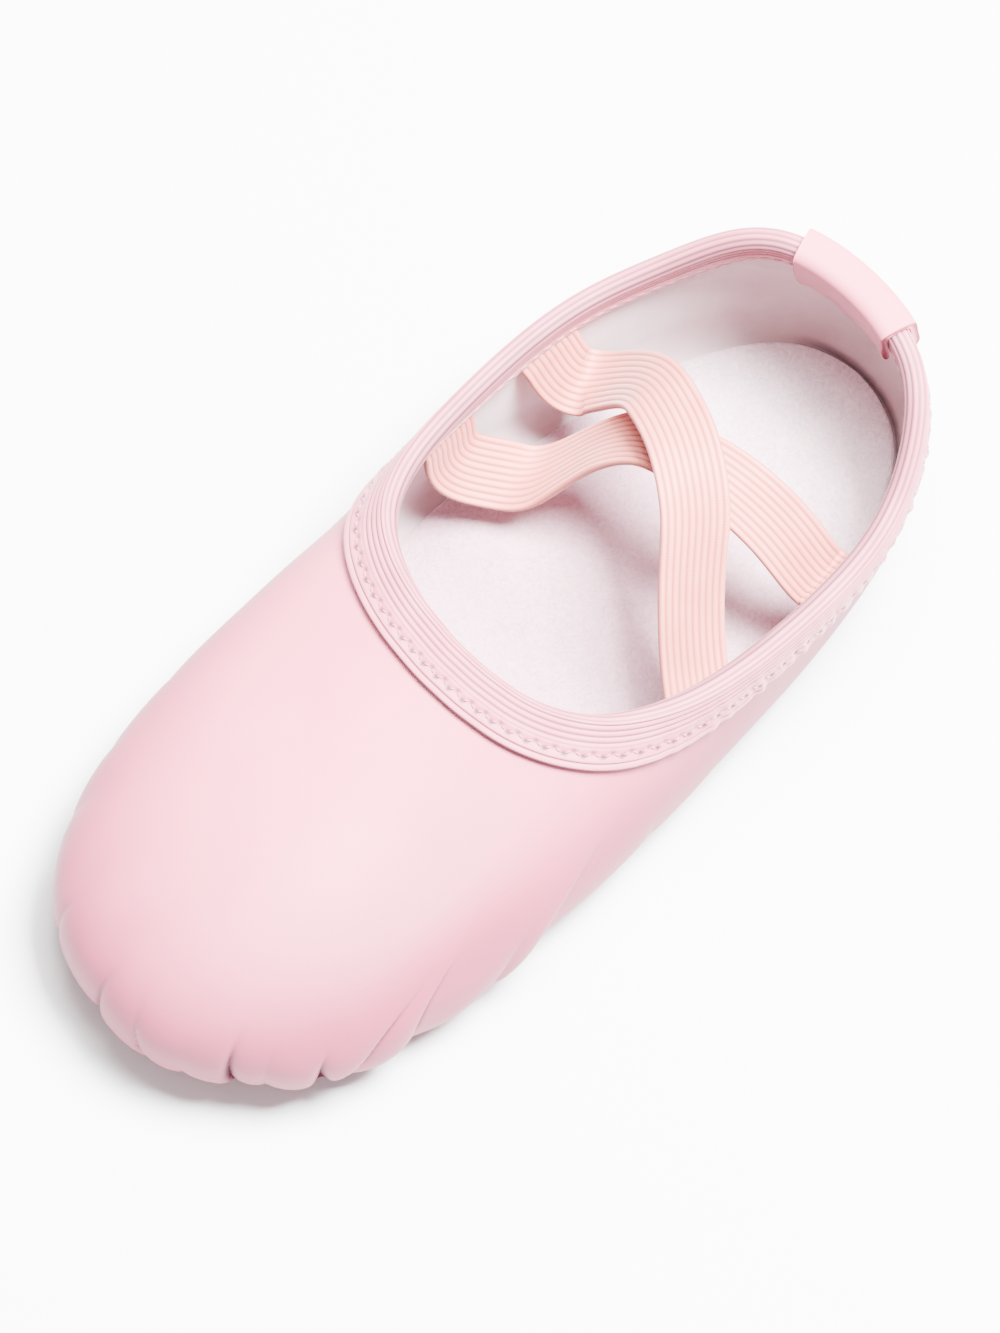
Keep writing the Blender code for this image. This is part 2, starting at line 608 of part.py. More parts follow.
def strap_seat(place):
    """Two stations of a strap on the lining: its end under the binding, and where it starts to leave the wall."""
    places = np.array([place])
    below = BINDING_INSIDE + STRAP_TUCK + np.array((0.0, STRAP_SEAT))
    climb = below_collar(places, below)[0]
    depth = UPPER_WALL + STRAP_CLEAR + STRAP_THICKNESS / 2 + np.array((0.0, STRAP_LEAVE))
    points = upper_face(place, climb, depth)
    wide = (collar(places + SMALL_STEP) - collar(places - SMALL_STEP))[0]
    wide *= np.sign(wide[0])
    turn = math.degrees(math.atan2(wide[1], wide[0]))
    tilt = math.degrees(math.atan2(wide[2], math.hypot(wide[0], wide[1])))
    return np.column_stack((points, (turn, turn), (tilt, tilt)))


def strap_stations(rows, table):
    """All stations of a strap: place, turn and tilt, from the inner side to the outer side."""
    inner = strap_seat(RING_ROWS - rows[0])
    outer = strap_seat(rows[1])
    way = column(table, STRAP_COLUMNS, "way")[:, None]
    middle = inner[0, :3] + way * (outer[0, :3] - inner[0, :3])
    middle[:, 0] += column(table, STRAP_COLUMNS, "aside") * STRAP_SWING
    middle[:, 2] += column(table, STRAP_COLUMNS, "rise") * STRAP_RISE
    turns = np.stack([column(table, STRAP_COLUMNS, name) for name in ("turn", "tilt")], axis=1)
    return np.concatenate((inner, np.hstack((middle, turns)), outer[::-1]))


def build_strap(name, rows, table):
    """An elastic strap: a flat section carried along the smooth line through its stations."""
    knots = strap_stations(rows, table)
    values = spline(knots, np.linspace(0, len(knots) - 1, STRAP_STEPS * (len(knots) - 1) + 1), closed=False)
    middle = values[:, :3]
    turn, tilt = np.radians(values[:, 3]), np.radians(values[:, 4])
    wide = np.stack((np.cos(turn) * np.cos(tilt), np.sin(turn) * np.cos(tilt), np.sin(tilt)), axis=-1)
    ahead = np.gradient(middle, axis=0)
    ahead /= np.linalg.norm(ahead, axis=-1, keepdims=True)
    wide -= ahead * np.sum(wide * ahead, axis=-1, keepdims=True)
    wide /= np.linalg.norm(wide, axis=-1, keepdims=True)
    face = np.cross(ahead, wide)
    half, thick = STRAP_WIDTH / 2, STRAP_THICKNESS / 2
    corners = ((-half, -thick), (half, -thick), (half, thick), (-half, thick))
    sections = np.stack([middle + wide * w + face * t for w, t in corners], axis=1)
    tube(name, sections, False, material(name.replace("_", " ") + " elastic", (0.93, 0.70, 0.68), 0.7))


def centre_shoe():
    """Put the origin on the floor under the middle of the whole shoe."""
    parts = [part for part in bpy.data.objects if part.type == "MESH"]
    points = np.concatenate([[tuple(vertex.co) for vertex in part.data.vertices] for part in parts])
    low, high = points.min(axis=0), points.max(axis=0)
    for part in parts:
        for vertex in part.data.vertices:
            vertex.co.x -= (low[0] + high[0]) / 2
            vertex.co.y -= (low[1] + high[1]) / 2
            vertex.co.z -= low[2]


for old in list(bpy.data.objects):
    bpy.data.objects.remove(old, do_unlink=True)
build_upper()
build_soles()
build_insole()
build_binding()
build_tab()
build_strap("strap_top", STRAP_TOP_ROWS, STRAP_TOP)
build_strap("strap_under", STRAP_UNDER_ROWS, STRAP_UNDER)
centre_shoe()
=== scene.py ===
# %% [markdown]
# A child's soft ballet shoe
#
# The real shoe is a sock of pink coated leather, gathered round the toe and stitched to two suede pads. A
# folded elastic tape binds the opening, a small leather loop covers the tape at the heel, and two ribbed
# elastics cross over the instep. This lesson dresses the solids of that shoe, piece by piece, from the same
# shape functions that the solids were cut from, so that everything fits without any moving into place.

# %% Load the frame
import math

import bmesh
import bpy
import mathutils
import numpy as np
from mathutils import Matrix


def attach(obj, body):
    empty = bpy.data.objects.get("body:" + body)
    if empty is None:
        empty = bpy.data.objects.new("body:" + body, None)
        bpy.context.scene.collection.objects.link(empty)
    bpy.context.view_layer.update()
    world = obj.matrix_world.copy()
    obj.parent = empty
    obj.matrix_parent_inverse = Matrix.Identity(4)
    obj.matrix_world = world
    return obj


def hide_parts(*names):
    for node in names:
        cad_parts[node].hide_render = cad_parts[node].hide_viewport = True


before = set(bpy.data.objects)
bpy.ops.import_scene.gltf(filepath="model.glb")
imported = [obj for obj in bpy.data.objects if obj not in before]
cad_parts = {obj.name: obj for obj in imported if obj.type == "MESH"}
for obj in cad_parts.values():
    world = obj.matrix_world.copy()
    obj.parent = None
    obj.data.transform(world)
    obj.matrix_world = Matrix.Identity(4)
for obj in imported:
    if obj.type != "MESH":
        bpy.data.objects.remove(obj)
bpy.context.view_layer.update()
print("solids:", sorted(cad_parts))

# %% [markdown]
# Small helpers come first. Colours are written as the hex values a picture editor shows, and one function
# turns them into the linear light that shaders want. Another adds a shader node, sets it up and links it.
# Most finishes of this shoe are a colour that drifts a little over soft clouds, with a fine relief pressed
# in, so two more functions hold that recipe. The viewer's tone curve pales and dulls bright colours, which
# is why the hex values below are deeper than the shoe looks.

# %% Colour and node helpers
MM = 0.001
MIX_COLOUR = 2  # the output of a Mix node that holds a colour


def linear(hex_colour):
    """Linear RGBA from an sRGB hex colour: c / 12.92 for the darkest, else ((c + 0.055) / 1.055) ^ 2.4."""
    channels = [int(hex_colour[k:k + 2], 16) / 255 for k in (1, 3, 5)]
    return [c / 12.92 if c <= 0.04045 else ((c + 0.055) / 1.055) ** 2.4 for c in channels] + [1.0]


def add(tree, kind, inputs=None, **settings):
    """Add a node, set its properties, and give each named input a value or a link."""
    made = tree.nodes.new(kind)
    for name, value in settings.items():
        setattr(made, name, value)
    for name, value in (inputs or {}).items():
        if isinstance(value, bpy.types.NodeSocket):
            tree.links.new(value, made.inputs[name])
        else:
            made.inputs[name].default_value = value
    return made


def new_material(name, roughness, **sockets):
    """A material with its shader's constant sockets set. Returns the material, its tree and its shader."""
    made = bpy.data.materials.new(name)
    made.use_nodes = True
    shader = made.node_tree.nodes["Principled BSDF"]
    shader.inputs["Roughness"].default_value = roughness
    for socket, value in sockets.items():
        shader.inputs[socket.replace("_", " ")].default_value = value
    return made, made.node_tree, shader


def clouded(tree, place, size, stops, **noise):
    """A colour that drifts between (position, hex colour) stops over clouds of a size, and their value."""
    cloud = add(tree, "ShaderNodeTexNoise", {"Vector": place, "Scale": 1 / size} | noise).outputs["Fac"]
    ramp = add(tree, "ShaderNodeValToRGB", {"Fac": cloud})
    while len(ramp.color_ramp.elements) < len(stops):
        ramp.color_ramp.elements.new(0.5)
    for element, (position, colour) in zip(ramp.color_ramp.elements, stops):
        element.position, element.color = position, linear(colour)
    return ramp.outputs["Color"], cloud


def coat(tree, shader, colour, height, strength, depth):
    """Give a shader its colour, and a relief that a height pattern presses into it to a depth in metres."""
    bump = add(tree, "ShaderNodeBump", {"Height": height, "Strength": strength, "Distance": depth})
    tree.links.new(colour, shader.inputs["Base Color"])
    tree.links.new(bump.outputs["Normal"], shader.inputs["Normal"])


print("pale pink in linear light:", [round(value, 3) for value in linear("#C1687B")])

# %% [markdown]
# A last is the wooden foot that a shoe is made over. This table gives the last in fourteen sections from
# heel to toe, as shares of a few named sizes. Everything on the shoe is a function of two numbers: a place
# round the shoe, counted in rows of the table, and a climb up the leather, from -1 at its turned-in edge
# over 0 at the widest level to 1 at the collar.

# %% Sizes of the last
LENGTH, BALL_OUTER, BALL_INNER, WIDEST_LEVEL = 170 * MM, 34.4 * MM, 38.4 * MM, 12 * MM
ARCH_LIFT, TOE_SPRING, TOE_SPRING_START = 3.5 * MM, 2.2 * MM, 0.78
COLLAR_BACK, COLLAR_LENGTH, COLLAR_OUTER, COLLAR_INNER = 6.5 * MM, 86.5 * MM, 31.3 * MM, 34.5 * MM
HEEL_HEIGHT, SIDE_HEIGHT, THROAT_HEIGHT = 44 * MM, 32 * MM, 33.5 * MM
HEEL_RISE_REACH, THROAT_RISE_REACH = 14 * MM, 22 * MM
UPPER_WALL, PAD_THICKNESS, INSOLE_THICKNESS = 1.4 * MM, 1.5 * MM, 2.0 * MM
TAPE_THICKNESS, TAB_THICKNESS, STRAP_THICKNESS, GAP = 0.9 * MM, 1.2 * MM, 1.3 * MM, 0.3 * MM
SPINE_BACK, SPINE_FRONT, PAD_INSET = 27 * MM, 128 * MM, 9.5 * MM
TURN_IN, TURN_RADIUS, TURN_POWER, FLAT_START = 7 * MM, 10 * MM, 0.9, 0.75
FRONT_PAD_START, HEEL_PAD_END, FRONT_PAD_ROUND, HEEL_PAD_ROUND, PAD_CURL = (
    78 * MM, 52 * MM, 24 * MM, 16 * MM, 4 * MM)
# From the heel's back on the last's centre line to the frame's origin, which is under the middle of the shoe.
SHIFT = np.array((-85.1085 * MM, 1.8046 * MM, 0.0))
NAMES = ("along", "outer", "inner", "level", "collar_along", "collar_outer", "collar_inner", "climb", "low",
         "high")
LAST = np.array((
    (0.000, 0.000, 0.000, 1.25, 0.000, 0.000, 0.000, 86, 0.36, 0.34),
    (0.021, 0.375, 0.340, 1.20, 0.035, 0.478, 0.420, 85, 0.36, 0.34),
    (0.080, 0.630, 0.580, 1.12, 0.145, 0.793, 0.720, 84, 0.36, 0.34),
    (0.165, 0.799, 0.742, 1.05, 0.300, 0.958, 0.922, 83, 0.36, 0.34),
    (0.265, 0.892, 0.846, 1.00, 0.474, 1.000, 0.994, 82, 0.36, 0.34),
    (0.365, 0.945, 0.911, 1.00, 0.647, 0.972, 0.992, 79, 0.36, 0.34),
    (0.465, 0.977, 0.956, 1.00, 0.780, 0.888, 0.957, 67, 0.36, 0.36),
    (0.565, 0.997, 0.988, 1.00, 0.879, 0.754, 0.858, 48, 0.32, 0.40),
    (0.665, 1.000, 1.000, 1.00, 0.936, 0.607, 0.710, 34, 0.29, 0.42),
    (0.765, 0.965, 0.974, 1.00, 0.968, 0.463, 0.545, 27, 0.27, 0.44),
    (0.859, 0.878, 0.891, 0.98, 0.986, 0.326, 0.383, 22, 0.26, 0.46),
    (0.929, 0.663, 0.734, 0.95, 0.994, 0.208, 0.255, 19, 0.26, 0.48),
    (0.979, 0.334, 0.469, 0.93, 0.999, 0.080, 0.139, 17, 0.27, 0.50),
    (1.000, -0.044, 0.039, 0.92, 1.000, -0.032, 0.029, 16, 0.27, 0.50),
))
TOE_ROW = len(LAST) - 1
RING_ROWS = 2 * TOE_ROW
SMALL_STEP = 0.002  # in rows or in climb, for slopes
print("the last:", len(LAST), "sections,", round(LENGTH / MM), "mm long")


# %% Curves through the table
def spline(knots, at, closed=True):
    """The smooth curve through evenly spaced knots.

    Its slopes m solve m[i-1] + 4 m[i] + m[i+1] = 3 (k[i+1] - k[i-1]), k being the knots.
    """
    knots, at = np.asarray(knots, dtype=float), np.asarray(at, dtype=float)
    count = len(knots)
    system = 4 * np.eye(count) + np.roll(np.eye(count), 1, axis=0) + np.roll(np.eye(count), -1, axis=0)
    pull = 3 * (np.roll(knots, -1, axis=0) - np.roll(knots, 1, axis=0))
    if not closed:
        system[0], system[-1] = 0, 0
        system[0, :2], system[-1, -2:] = (2, 1), (1, 2)
        pull[0], pull[-1] = 3 * (knots[1] - knots[0]), 3 * (knots[-1] - knots[-2])
    slopes = np.linalg.solve(system, pull)
    low = np.floor(at).astype(int)
    if not closed:
        low = np.clip(low, 0, count - 2)
    s = (at - low).reshape(at.shape + (1,) * (knots.ndim - 1))
    a, b = low % count, (low + 1) % count
    return (knots[a] * (1 + 2 * s) * (1 - s) ** 2 + slopes[a] * s * (1 - s) ** 2
            + knots[b] * s * s * (3 - 2 * s) + slopes[b] * s * s * (s - 1))


def around(name, at, inner=None, size=1.0, inner_size=None):
    """A table column carried round the shoe: up the outer side and back down the inner side."""
    outer = LAST[:, NAMES.index(name)] * size
    back = outer if inner is None else -LAST[:, NAMES.index(inner)] * inner_size
    return spline(np.concatenate((outer, back[TOE_ROW - 1:0:-1])), at)


def unit(vectors):
    """Vectors divided by their own length."""
    return vectors / np.linalg.norm(vectors, axis=-1, keepdims=True)


def smooth_step(value):
    """Ease from 0 to 1 with level ends: 3 s^2 - 2 s^3."""
    s = np.clip(value, 0, 1)
    return s * s * (3 - 2 * s)


def lengths_along(points):
    """Length from the first point of a line to each of its points."""
    return np.concatenate(([0.0], np.cumsum(np.linalg.norm(np.diff(points, axis=0), axis=1))))


print("an ease half way up:", smooth_step(0.5))


# %% The leather as a surface
def widest(at):
    """The outline at the widest level, in plan."""
    return np.stack((around("along", at, size=LENGTH),
                     around("outer", at, "inner", BALL_OUTER, BALL_INNER)), axis=-1)


def collar(at):
    """The collar's edge: high at the heel, level at the sides and a little up again at the throat."""
    along = COLLAR_BACK + around("collar_along", at, size=COLLAR_LENGTH)
    across = around("collar_outer", at, "collar_inner", COLLAR_OUTER, COLLAR_INNER)
    heel = np.exp(-((along - COLLAR_BACK) / HEEL_RISE_REACH) ** 2)
    throat = smooth_step((along - COLLAR_BACK - COLLAR_LENGTH) / THROAT_RISE_REACH + 1)
    height = SIDE_HEIGHT + heel * (HEEL_HEIGHT - SIDE_HEIGHT) + throat * (THROAT_HEIGHT - SIDE_HEIGHT)
    return np.stack((along, across, height), axis=-1)


def collar_way(at):
    """Unit vector along the collar's edge."""
    return unit(collar(at + SMALL_STEP) - collar(at - SMALL_STEP))


def ground(along):
    """Height of the underside: flat at heel and ball, lifted under the arch, sprung at the toe."""
    start, end = HEEL_PAD_END - PAD_CURL, FRONT_PAD_START + PAD_CURL
    arch = np.sin(math.pi * np.clip((along - start) / (end - start), 0, 1)) ** 2
    toe = np.clip((along / LENGTH - TOE_SPRING_START) / (1 - TOE_SPRING_START), 0, 1) ** 2
    return ARCH_LIFT * arch + TOE_SPRING * toe


def inset_line(at, inset):
    """The widest outline moved in by a distance, towards a spine along the middle of the shoe."""
    outline = widest(at)
    spine = np.stack((np.clip(outline[..., 0], SPINE_BACK, SPINE_FRONT), 0 * outline[..., 0]), axis=-1)
    return outline + inset * unit(spine - outline)


def open_share(along, trim):
    """1 where a pad closes the underside and 0 under the arch, with elliptical ends."""
    front = np.clip((along - FRONT_PAD_START - trim) / FRONT_PAD_ROUND, 0, 1)
    heel = np.clip((HEEL_PAD_END - trim - along) / HEEL_PAD_ROUND, 0, 1)
    return np.maximum(np.sqrt(1 - (1 - front) ** 2), np.sqrt(1 - (1 - heel) ** 2))


def turned_edge(at):
    """The leather's lower edge in plan: round the two openings, and on the centre line under the arch."""
    outline = widest(at)
    middle = outline * (1, 0)
    share = open_share(outline[..., 0], TURN_IN)[..., None]
    return middle + share * (inset_line(at, PAD_INSET + TURN_IN) - middle)


def smooth_upper(at, climb):
    """The leather's outer face without its folds.

    Below the widest level it follows a rounded corner, then runs flat to its edge. Above it a cubic curve,
    a (1-s)^3 + 3 b s (1-s)^2 + 3 c s^2 (1-s) + d s^3, leaves straight up and meets the collar at its angle.
    """
    at, climb = np.broadcast_arrays(np.asarray(at, dtype=float), np.asarray(climb, dtype=float))
    level = around("level", at, size=WIDEST_LEVEL)
    side = np.concatenate((widest(at), level[..., None]), axis=-1)
    top = collar(at)
    inward = turned_edge(at) - side[..., :2]
    span = np.linalg.norm(inward, axis=-1)
    angle = math.pi / 2 * np.clip(-climb / FLAT_START, 0, 1)
    run = np.clip((-climb - FLAT_START) / (1 - FLAT_START), 0, 1)
    moved = TURN_RADIUS * (1 - np.cos(angle) ** TURN_POWER) + run * (span - TURN_RADIUS)
    plan = side[..., :2] + inward * (moved / span)[..., None]
    floor = PAD_THICKNESS + GAP + ground(plan[..., 0])
    height = level - (level - floor) * np.sin(angle) ** TURN_POWER
    under = np.concatenate((plan, height[..., None]), axis=-1)
    reach = np.linalg.norm(top - side, axis=-1)
    angle = np.radians(around("climb", at))
    out = collar_way(at)[..., :2]
    out = unit(np.stack((-out[..., 1], out[..., 0]), axis=-1))
    rise = np.concatenate((-out * np.cos(angle)[..., None], np.sin(angle)[..., None]), axis=-1)
    low = side + (reach * around("low", at))[..., None] * (0, 0, 1)
    high = top - (reach * around("high", at))[..., None] * rise
    s = climb[..., None]
    over = side * (1 - s) ** 3 + 3 * low * s * (1 - s) ** 2 + 3 * high * s * s * (1 - s) + top * s ** 3
    return np.where(s < 0, under, over)


def outward(at, climb):
    """Unit normal of the leather, from small steps round the shoe and up its side."""
    at, climb = np.broadcast_arrays(np.asarray(at, dtype=float), np.asarray(climb, dtype=float))
    along = smooth_upper(at + SMALL_STEP, climb) - smooth_upper(at - SMALL_STEP, climb)
    up = (smooth_upper(at, np.clip(climb + SMALL_STEP, -1, 1))
          - smooth_upper(at, np.clip(climb - SMALL_STEP, -1, 1)))
    return unit(np.cross(up, along))


print("collar at the heel and the throat, mm up:", np.round(collar(np.array((0, TOE_ROW)))[:, 2] / MM, 1))

# %% [markdown]
# Every piece is made the same way: a rectangular grid of points is worked out as whole arrays, wrapped
# round where the piece is a ring or a tube, and handed to Blender in one go. The sign of the enclosed
# volume says whether the faces point outwards, and turns them if they don't.

# %% Grid of points to mesh
def grid_faces(columns, rows, ring=False, tube=False):
    """Corner numbers of the quads of a grid, and the same corners before wrapping, for the UV map."""
    c, r = np.meshgrid(np.arange(columns - (not ring)), np.arange(rows - (not tube)), indexing="ij")
    corners = [(c, r), (c + 1, r), (c + 1, r + 1), (c, r + 1)]
    wrapped = np.stack([(i % columns) * rows + j % rows for i, j in corners], axis=-1).reshape(-1, 4)
    plain = np.stack([i * (rows + 1) + j for i, j in corners], axis=-1).reshape(-1, 4)
    return wrapped, plain


def end_caps(columns, ring):
    """The first and the last section of a tube as one face each."""
    return [list(range(ring))[::-1], [(columns - 1) * ring + k for k in range(ring)]]


def side_quads(line, shift, flip=False):
    """Quads between a line of point numbers and the same line one layer on."""
    a, b = line[:-1], line[1:]
    quads = np.stack((a, b, b + shift, a + shift), axis=-1)
    return np.roll(quads[:, ::-1], 1, axis=1) if flip else quads


def enclosed_volume(points, faces):
    """Signed volume of quads: the sum over their triangles of a . (b x c) / 6."""
    a, b, c, d = (points[faces[:, k]] for k in range(4))
    return (np.einsum("ij,ij->", a, np.cross(b, c)) + np.einsum("ij,ij->", a, np.cross(c, d))) / 6


def new_piece(name, points, faces, materials, replaces=(), caps=(), uv=None, fields=None, parts=None):
    """Make one finished piece of the shoe and let it ride on the frame.

    caps are extra faces that close the ends, uv gives u and v for each corner of each quad, fields are
    numbers kept at each point for the materials to read, and parts is the material number of each quad.
    """
    if enclosed_volume(points, faces) < 0:
        faces = faces[:, ::-1]
        uv = None if uv is None else uv[:, ::-1]
        caps = [cap[::-1] for cap in caps]
    mesh = bpy.data.meshes.new(name)
    mesh.from_pydata((points + SHIFT).tolist(), [], faces.tolist() + list(caps))
    if uv is not None:
        corners = np.zeros((len(mesh.loops), 2), np.float32)
        corners[:4 * len(faces)] = uv.reshape(-1, 2)
        mesh.uv_layers.new(name="UVMap").data.foreach_set("uv", corners.ravel())
    for field, values in (fields or {}).items():
        made = mesh.attributes.new(field, "FLOAT", "POINT")
        made.data.foreach_set("value", values.ravel().astype(np.float32))
    for material in materials:
        mesh.materials.append(material)
    if parts is not None:
        numbers = np.zeros(len(mesh.polygons), np.int32)
        numbers[:len(parts)] = parts
        mesh.polygons.foreach_set("material_index", numbers)
    mesh.shade_smooth()
    piece = bpy.data.objects.new(name, mesh)
    bpy.context.scene.collection.objects.link(piece)
    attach(piece, "root")
    if replaces:
        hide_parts(*replaces)
    triangles = sum(len(polygon.vertices) - 2 for polygon in mesh.polygons)
    print(f"{name}: {triangles} triangles")
    return piece


print("quads in a ring of 6 columns and 4 rows:", len(grid_faces(6, 4, ring=True)[0]))

# %% [markdown]
# The toe of a ballet shoe has no seam. The leather is drawn in under the last by hand and pleated as it
# goes, so round the toe it stands in small puffs with a sharp groove between each two. On the outer side
# the folds are longer and lean back, and the leather behind each one dives under it. Folds like these
# follow no formula, so they are listed one to a row of the table, and only the shape across a fold is
# worked out.

# %% Pleats and folds
FOLD_DEPTH, PUFF_HEIGHT = 1.5 * MM, 0.85 * MM
# from_toe: rows of the last, plus on the outer side. depth and puff: shares of the two sizes above. top: the
# climb where the fold dies out. lean: rows that it moves back towards the heel on the way up. width: mm. dive:
# how much the leather behind the fold line drops, 0 for an even groove.
FOLD_NAMES = ("from_toe", "depth", "puff", "top", "lean", "width", "dive")
FOLDS = np.array((
    (7.40, 0.10, 0.10, 0.15, 0.2, 2.0, 0.3),
    (6.50, 0.25, 0.20, 0.20, 0.3, 1.8, 0.4),
    (4.80, 1.50, 0.90, 0.62, 1.6, 1.1, 1.2),
    (4.45, 0.40, 1.20, 0.22, 1.0, 1.0, 0.2),
    (3.44, 1.45, 0.90, 0.50, 0.8, 0.9, 1.1),
    (2.60, 1.70, 0.30, 0.42, 1.8, 0.8, 0.8),
    (2.45, 2.20, 0.55, 0.18, 0.0, 1.0, 0.0),
    (1.80, 0.35, 0.28, 0.28, 0.0, 1.8, 0.0),
    (1.47, 1.90, 0.28, 0.30, -0.3, 0.9, 0.3),
    (0.85, 0.30, 0.28, 0.16, 0.0, 1.2, 0.0),
    (0.43, 0.75, 0.32, 0.28, -0.9, 0.8, 0.0),
    (-0.33, 1.20, 0.38, 0.32, -0.1, 0.8, 0.3),
    (-1.20, 0.60, 0.50, 0.28, -0.1, 1.0, 0.0),
    (-2.60, 0.45, 0.45, 0.22, -0.2, 1.4, 0.0),
    (-3.40, 0.55, 0.45, 0.24, -0.2, 1.2, 0.3),
    (-4.20, 0.60, 0.45, 0.28, -0.3, 1.2, 0.3),
    (-5.10, 0.50, 0.35, 0.28, -0.3, 1.4, 0.3),
    (-5.90, 0.30, 0.25, 0.20, -0.2, 1.8, 0.3),
    (-6.70, 0.10, 0.10, 0.10, -0.2, 2.0, 0.3),
))
# The climb where folds fade out underneath, and the most that the wall lets one sink, less underneath.
UNDER_FADE, DEEPEST, UNDER_SHARE, UNDER_FROM = -0.88, 2.0 * MM, 0.45, -0.35
# Shares of the table's width, drop and depth: sharpness of a groove, widths that a dive takes to come back,
# how deep it stands, and how much of it counts as hidden from the light.
GROOVE_WIDTH, DIVE_WIDTHS, DIVE_DEPTH, DIVE_SHADE = 0.8, 8, 0.9, 0.12


def fold_column(name):
    """A column of the table of folds."""
    return FOLDS[:, FOLD_NAMES.index(name)]


def pleats(at, climb):
    """How far the leather stands out at each point, and how much painted shade it gets in a fold, from 0 to 1.

    Each fold line leans as it climbs. Across it the leather dips as exp(-|u| / (0.8 width)), u being the
    distance from the line in mm. Behind a diving fold it stays low and comes back over eight widths.
    Between two lines it puffs out as 4 s (1 - s). Up the side each fold swells to full depth just under the
    widest level, then dies out. A depth d is held back to m tanh(d / m), m being the most that the wall
    allows.
    """
    lines, leans, tops = TOE_ROW - fold_column("from_toe"), fold_column("lean"), fold_column("top")
    ring = np.arange(RING_ROWS + 1)
    distance = lengths_along(widest(ring)) / MM
    here = np.interp(at, ring, distance)
    under = climb - UNDER_FADE
    out, deep = np.zeros(at.shape), np.zeros(at.shape)
    centres = [line - lean * np.clip(climb + 0.2, 0, None) for line, lean in zip(lines, leans)]
    for line, centre, top, depth, width, dive in zip(lines, centres, tops, fold_column("depth"),
                                                     fold_column("width"), fold_column("dive")):
        u = here - np.interp(centre, ring, distance)
        swell = smooth_step((top - climb) / (top + 0.15)) * smooth_step(under / 0.25)
        groove = np.exp(-np.abs(u) / (GROOVE_WIDTH * width))
        behind = -u * np.sign(TOE_ROW - line)
        comes_back = np.exp(-behind / (DIVE_WIDTHS * width)) * (1 - np.exp(-behind / width))
        drop = dive * np.where(behind > 0, comes_back, 0)
        out -= depth * FOLD_DEPTH * swell * (groove + DIVE_DEPTH * drop)
        deep += depth * swell * (groove + DIVE_SHADE * drop)
    for k, puff in enumerate(fold_column("puff")[:-1]):
        s = (at - centres[k]) / (centres[k + 1] - centres[k])
        top = 0.5 * (tops[k] + tops[k + 1])
        swell = smooth_step((top - climb) / (top + 0.3)) * smooth_step(under / 0.3)
        out += np.where((s > 0) & (s < 1), puff * PUFF_HEIGHT * 4 * s * (1 - s), 0) * swell
    deepest = DEEPEST * (UNDER_SHARE + (1 - UNDER_SHARE) * smooth_step((climb - UNDER_FROM) / 0.25))
    return np.where(out < 0, -deepest * np.tanh(-out / deepest), out), np.clip(1.6 * deep - 0.35, 0, 1)


print("folds:", len(FOLDS), "deepest share:", fold_column("depth").max())

# %% [markdown]
# Worn leather also has soft dents and ridges that no seam explains. Each is a trough along a short curve
# through a few points, so a handful of numbers sets where it runs, how wide it is and how deep.

# %% Soft dents, listed one by one
CREASE_STEPS = 24
# The (place, climb) points of each, its half width in mm and its depth in mm, which is minus for a ridge.
CREASES = (
    (((8.4, 0.30), (8.9, 0.20), (9.4, 0.02)), 5.0, 0.55),
    (((9.3, 0.34), (9.8, 0.22), (10.2, 0.06)), 4.5, 0.45),
    (((10.4, 0.26), (10.9, 0.10)), 4.0, 0.40),
    (((12.2, 0.34), (12.4, 0.12)), 3.0, 0.35),
    (((13.6, 0.36), (13.7, 0.14)), 3.0, 0.45),
    (((14.6, 0.36), (14.5, 0.14)), 3.2, 0.50),
    (((15.9, 0.30), (15.6, 0.08)), 3.5, 0.35),
    (((6.0, 0.75), (7.2, 0.50), (8.4, 0.55)), 6.0, 0.30),
    (((18.5, 0.60), (19.6, 0.40)), 6.0, 0.30),
    (((3.0, 0.55), (4.6, 0.35)), 5.0, 0.45),
    (((4.4, 0.60), (5.8, 0.45)), 5.0, 0.35),
    (((22.8, 0.55), (21.4, 0.38)), 5.0, 0.45),
    (((24.6, 0.50), (23.6, 0.30)), 5.0, 0.40),
    (((1.2, 0.60), (2.2, 0.35)), 4.0, 0.35),
)


def creases(points, table):
    """Sum of soft troughs: depth exp(-(distance to a crease's line / half width)^2), tapered at the ends."""
    total = np.zeros(points.shape[:-1])
    for path, width, depth in table:
        path = np.array(path)
        place = spline(path, np.linspace(0, len(path) - 1, CREASE_STEPS + 1), closed=False)
        line = smooth_upper(place[:, 0], place[:, 1])
        apart = np.linalg.norm(points[..., None, :] - line, axis=-1) / MM
        nearest = np.argmin(apart, axis=-1)
        taper = np.sin(math.pi * (0.08 + 0.84 * nearest / CREASE_STEPS))
        total += depth * MM * taper * np.exp(-(np.min(apart, axis=-1) / width) ** 2)
    return total


print("dents in the leather:", len(CREASES))

# %% [markdown]
# The upper is one closed shell, leather outside and cotton inside. The columns of its grid are set closer
# round the toe, where the pleats are. Under the arch both sides meet on the centre line, so those points
# are shared.

